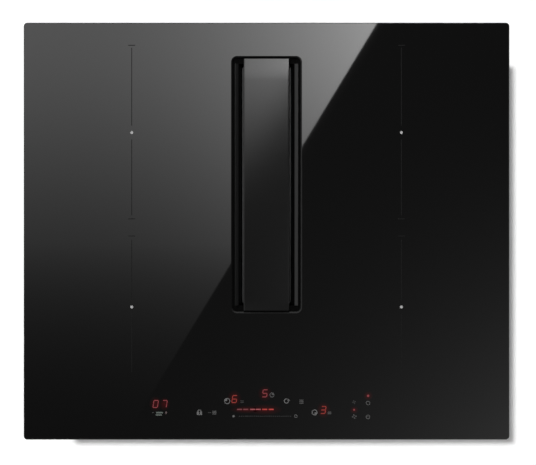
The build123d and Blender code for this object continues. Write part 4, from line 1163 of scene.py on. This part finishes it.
def rib_starts(shaft_y):
    """Level rays towards the volute's wall: round the scroll, then along the diffuser's two sides."""
    rays = []
    for angle in RIB_ANGLES:
        a = radians(angle + RIB_STEP / 2)
        out = Vector((cos(a), sin(a), 0))
        rays.append((Vector((0, shaft_y, 0)) + out * RAY_REACH, -out))
    y = shaft_y + SIDE_RIB_START
    while y < volute_high.y - SIDE_RIB_STOP:
        rays += [(Vector((side * RAY_REACH, y, 0)), Vector((-side, 0, 0))) for side in (-1, 1)]
        y += SIDE_RIB_PITCH
    return rays


def clear_of(screws, root, way):
    """Whether a rib at a root, along a direction, keeps off every screw head."""
    along = Vector((-way.y, way.x))
    room = RIB_THICK / 2 + HEAD_ROOM
    return all((screw - root.xy).length > SCREW_NEAR or abs((screw - root.xy).dot(along)) > room
               for screw in screws)


def make_volute_ribs():
    """Gussets between the volute's rim and its wall."""
    tree = tree_of("volute_bottom")
    rim_under = volute_high.z - RIM_DROP
    screws = [((low + high) / 2).xy for low, high in islands("screws") if low.z < rim_under]
    shape = bmesh.new()
    for start, way in rib_starts(middle("impeller").y):
        found = hit(tree, start + UP * (rim_under - RAY_DROP), way)
        if found is None:
            continue
        root = Vector((found.x, found.y, rim_under))
        if clear_of(screws, root, way):
            add_rib(shape, root, -way)
    finish_piece("volute_ribs", shape, SLOT_OF["volute_bottom"])


# rays up at a screw head's middle and round it
HEAD_ROUND = ((0, 0, 0), (0, 1, 0), (0, -1, 0), (1, 0, 0), (-1, 0, 0))
# the plenum's flange: its sheet, the screws on each side, how far in they stand and how long they are
FLANGE = 2.5 * MM
FLANGE_SCREWS = 8
FLANGE_INSET = 6.0 * MM
FLANGE_REACH = 6.0 * MM
# how far off the flange's level a ray may end, and how far below the plenum it starts
LEVEL_ERROR = 0.5 * MM
RAY_DEPTH = 50 * MM


def make_plenum_screws():
    """Screws up through the plenum's flange, between its gussets."""
    tree = tree_of("plenum_sides", "plenum_ends")
    pitch = (plenum_high.y - plenum_low.y) / FLANGE_SCREWS
    shape = bmesh.new()
    for x in (FLANGE_INSET - plenum_high.x, plenum_high.x - FLANGE_INSET):
        for index in range(FLANGE_SCREWS):
            start = Vector((x, plenum_low.y + pitch * (index + 0.5), plenum_low.z - RAY_DEPTH))
            found = [hit(tree, start + Vector(step) * HEAD_ROOM, UP) for step in HEAD_ROUND]
            if all(place and abs(place.z - plenum_high.z + FLANGE) < LEVEL_ERROR for place in found):
                add_screw(shape, found[0], FLANGE_REACH)
    finish_piece("plenum_screws", shape, "bolt_steel")


# the cover screws: how far in from the box's corner, and how long
COVER_INSET = 7 * MM
COVER_REACH = 5 * MM


def make_box_screws():
    """Cover screws under the terminal box."""
    low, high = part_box("terminal_box")
    shape = bmesh.new()
    for x in (low.x + COVER_INSET, high.x - COVER_INSET):
        for y in (low.y + COVER_INSET, high.y - COVER_INSET):
            add_screw(shape, (x, y, low.z), COVER_REACH)
    finish_piece("box_screws", shape, "bolt_steel")


# how far out from a bracket's root its two rivets stand
RIVET_STEPS = (8 * MM, 20 * MM)
RIVET_RINGS = [(circle, 2.6, 0.0), (circle, 2.5, 0.5), (circle, 1.7, 0.95), (circle, 0.9, 1.0),
               (circle, 0.8, 0.6)]


def make_rivets():
    """Two rivets under each bracket's arm."""
    shape = bmesh.new()
    for low, high in islands("fixing_brackets"):
        side, root = (1, low.x) if low.x > 0 else (-1, high.x)
        for step in RIVET_STEPS:
            centre = (root + side * step, (low.y + high.y) / 2, high.z - BRACKET_SHEET)
            turned(shape, centre, -UP, RIVET_RINGS, 16)
    finish_piece("bracket_rivets", shape, "bracket_zinc")


# outside of the outlet sleeve: width, height and corner
SLEEVE = (218 * MM, 85 * MM, 6 * MM)
SNAP_INSET = 5.0 * MM
SNAP_WIDTH = 4.0 * MM
# the bead's section: height over the sleeve, and share of its width back from its rear
SNAP_PROFILE = ((0.0, 1.0), (1.4 * MM, 0.45), (1.4 * MM, 0.25), (0.0, 0.0), (-0.4 * MM, 0.5))


def make_spigot_bead():
    """A raised bead round the outlet sleeve that a flat duct snaps on to."""
    centre = middle("outlet_spigot")
    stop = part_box("outlet_spigot")[1].y - SNAP_INSET
    loops = []
    for grow, back in SNAP_PROFILE:
        outline = round_rectangle(SLEEVE[0] + 2 * grow, SLEEVE[1] + 2 * grow, SLEEVE[2] + grow, steps=6)
        loops.append([(centre.x + u, stop - back * SNAP_WIDTH, centre.z + v) for u, v in outline])
    shape = bmesh.new()
    tube(shape, loops)
    finish_piece("spigot_bead", shape, SLOT_OF["outlet_spigot"])


GRIP_COUNT = 16
# in mm: the nut's radius, how deep a ridge sinks into it, and half a ridge's foot and crest
GRIP_RADIUS = 9.4
GRIP_SINK = 0.3
GRIP_FOOT, GRIP_CREST = 0.9, 0.5
# a ridge along the nut: how far back from the gland's end, and how high
GRIP_ROWS = ((11.5, 0.1), (10.5, 0.8), (3.2, 0.7), (2.2, 0.1))


def make_gland_grips():
    """Finger ridges round the gland's nut."""
    centre, end = middle("cable_gland"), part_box("cable_gland")[1].y
    shape = bmesh.new()
    for a in circle_angles(GRIP_COUNT):
        out, aside = Vector((cos(a), 0, sin(a))), Vector((-sin(a), 0, cos(a)))
        base = Vector((centre.x, end, centre.z)) + out * GRIP_RADIUS * MM
        loops = []
        for back, rise in GRIP_ROWS:
            row = base - Vector((0, back * MM, 0))
            sides = ((-GRIP_SINK, -GRIP_FOOT), (rise, -GRIP_CREST), (rise, GRIP_CREST),
                     (-GRIP_SINK, GRIP_FOOT))
            loops.append([row + (out * up + aside * across) * MM for up, across in sides])
        solid(shape, loops)
    finish_piece("gland_grips", shape, SLOT_OF["cable_gland"])


make_volute_ribs()
make_plenum_screws()
make_box_screws()
make_rivets()
make_spigot_bead()
make_gland_grips()


# ---------------------------------------------------------------- stage: floor, lights, card and camera

CAMERA_X, CAMERA_Y = 0.00179, -0.00167
CAMERA_RISE = 2.0
SENSOR = 36.0
VIEW_WIDTH = 0.66185
FLOOR_SIZE = 30.0
FLOOR_TONE = 0.75
FLOOR_SEEN = 1.13
FLOOR_GLOW = 0.07
CARD_SIZE = 2.2
CARD_RISE = 1.6
GLASS_MIRROR = 0.04
# the lit wall: its levels at the front and back, and how its light rises between them
WALL_LOW = 0.0036
WALL_HIGH = 0.083
WALL_BEND = 1.54
WALL_FOOT = 0.47
WALL_EASE = 0.75
# how it swells towards its slanted end
WALL_REACH = 0.4075
SWELL_SPAN = 1.3
SWELL_BEND = 2.7
SWELL = 2.2
# the dark wall, and how it lifts towards its front right corner
DARK_LEVEL = 0.0038
CORNER_LIFT = 0.021
CORNER_RIGHT = 3.0
CORNER_FRONT = 2.6
# the slanted line on the glass, as x over y
LINE_SLOPE = 0.608
LINE_FOOT = -0.0198


def stage_object(name, corners, material):
    mesh = bpy.data.meshes.new(name)
    mesh.from_pydata(corners, [], [tuple(range(len(corners)))])
    mesh.materials.append(material)
    piece = add_object(name, mesh)
    return piece


def floor_material():
    """A pale floor that keeps the shadow and shows white to the camera, to gloss and through glass."""
    recipe = Recipe("floor")
    path = recipe.node("ShaderNodeLightPath").outputs
    seen = recipe.math("MAXIMUM", path["Is Camera Ray"], path["Is Glossy Ray"])
    seen = recipe.math("MAXIMUM", seen, path["Is Transmission Ray"])
    lift = recipe.span(seen, FLOOR_TONE, FLOOR_SEEN)
    colour = recipe.node("ShaderNodeCombineColor", {0: lift, 1: lift, 2: lift}).outputs[0]
    diffuse = recipe.node("ShaderNodeBsdfDiffuse", {"Color": colour}).outputs[0]
    veil = recipe.glow(recipe.scaled(seen, FLOOR_GLOW))
    return recipe.output(recipe.node("ShaderNodeAddShader", {0: diffuse, 1: veil}).outputs[0])


def card_material():
    """What the glass mirrors: a soft lit wall that ends on a slanted line, and a dark one beyond it."""
    recipe = Recipe("card")
    x, y, _ = recipe.parts()
    scale = 1 + CARD_RISE / CAMERA_RISE
    u = recipe.math("ADD", recipe.math("DIVIDE", recipe.math("SUBTRACT", x, CAMERA_X), scale), CAMERA_X)
    v = recipe.math("ADD", recipe.math("DIVIDE", recipe.math("SUBTRACT", y, CAMERA_Y), scale), CAMERA_Y)
    # the lit wall brightens to the back, steeply first and then levelling off, and towards its slanted end
    depth = recipe.span(v, 0, 1, glass_low.y, glass_high.y)
    levelling = recipe.math("POWER", recipe.math("SUBTRACT", 1.0, depth), WALL_BEND)
    rise = recipe.math("POWER", recipe.span(depth, 0, 1, 0, WALL_FOOT), WALL_EASE)
    back = recipe.scaled(recipe.math("SUBTRACT", 1.0, levelling), rise)
    wall = recipe.scaled(WALL_LOW, recipe.math("POWER", WALL_HIGH / WALL_LOW, back))
    near_end = recipe.span(u, 0, SWELL_SPAN, glass_low.x, glass_low.x + SWELL_SPAN * WALL_REACH)
    swell = recipe.math("MULTIPLY_ADD", recipe.math("POWER", near_end, SWELL_BEND), SWELL, 1.0)
    # the dark side lifts towards the front right corner
    right = recipe.math("POWER", recipe.span(u, 0, 1, glass_low.x, glass_high.x), CORNER_RIGHT)
    front = recipe.math("POWER", recipe.span(v, 1, 0, glass_low.y, glass_high.y), CORNER_FRONT)
    dark = recipe.math("MULTIPLY_ADD", recipe.scaled(right, front), CORNER_LIFT, DARK_LEVEL)
    side = recipe.math("LESS_THAN", u, recipe.math("MULTIPLY_ADD", v, LINE_SLOPE, LINE_FOOT))
    light = recipe.mix(side, dark, recipe.scaled(wall, swell))
    return recipe.output(recipe.glow(recipe.math("DIVIDE", light, GLASS_MIRROR)))


def build_stage():
    stage_object("floor", level(rectangle(FLOOR_SIZE, FLOOR_SIZE), cad_low.z), floor_material())
    face_down = rectangle(CARD_SIZE, CARD_SIZE)[::-1]
    card = stage_object("card", level(face_down, surface + CARD_RISE), card_material())
    card.visible_camera = False
    card.visible_diffuse = False
    card.visible_shadow = False
    card.visible_transmission = False


SKY_FILL = 0.3
SKY_CLEAR = 1.0
# the way in which gloss sees the brightest light, and the span of its strengths across it
BRIGHT_WAY = (-0.75, 0.65, 0.0)
BRIGHT_SPAN = 0.7
GLOSS_LOW = 0.12
GLOSS_HIGH = 1.1


def build_world():
    """Soft light all round; gloss sees it bright at the left and back, and dimmer at the right and front."""
    world = bpy.data.worlds.new("studio")
    bpy.context.scene.world = world
    sky = Nodes(world)
    sky.tree.nodes.clear()
    path = sky.node("ShaderNodeLightPath").outputs
    way = sky.node("ShaderNodeTexCoord").outputs["Generated"]
    towards = sky.node("ShaderNodeVectorMath", {0: way, 1: BRIGHT_WAY}, operation="DOT_PRODUCT")
    sided = sky.span(towards.outputs["Value"], GLOSS_LOW, GLOSS_HIGH, -BRIGHT_SPAN, BRIGHT_SPAN, smooth=True)
    fill = sky.mix(path["Is Glossy Ray"], SKY_FILL, sided)
    clear = sky.math("MAXIMUM", path["Is Camera Ray"], path["Is Transmission Ray"])
    light = sky.node("ShaderNodeBackground", {"Strength": sky.mix(clear, fill, SKY_CLEAR)}).outputs[0]
    sky.node("ShaderNodeOutputWorld", {"Surface": light})


SUN_STRENGTH = 2.2
SUN_SPREAD = 2.8
SUN_WAY = (0.180, -0.155, -1)


def build_lights():
    sun = bpy.data.lights.new("sun", "SUN")
    sun.energy = SUN_STRENGTH
    sun.angle = radians(SUN_SPREAD)
    lamp = add_object("sun", sun)
    lamp.rotation_euler = Vector(SUN_WAY).to_track_quat("-Z", "Y").to_euler()
    lamp.visible_glossy = False


def build_camera():
    camera = bpy.data.cameras.new("camera")
    camera.sensor_width = SENSOR
    camera.lens = SENSOR * CAMERA_RISE / VIEW_WIDTH
    camera.clip_end = 100
    holder = add_object("camera", camera)
    holder.location = (CAMERA_X, CAMERA_Y, surface + CAMERA_RISE)
    bpy.context.scene.camera = holder


build_stage()
build_world()
build_lights()
build_camera()
bpy.context.scene.view_settings.view_transform = "Standard"
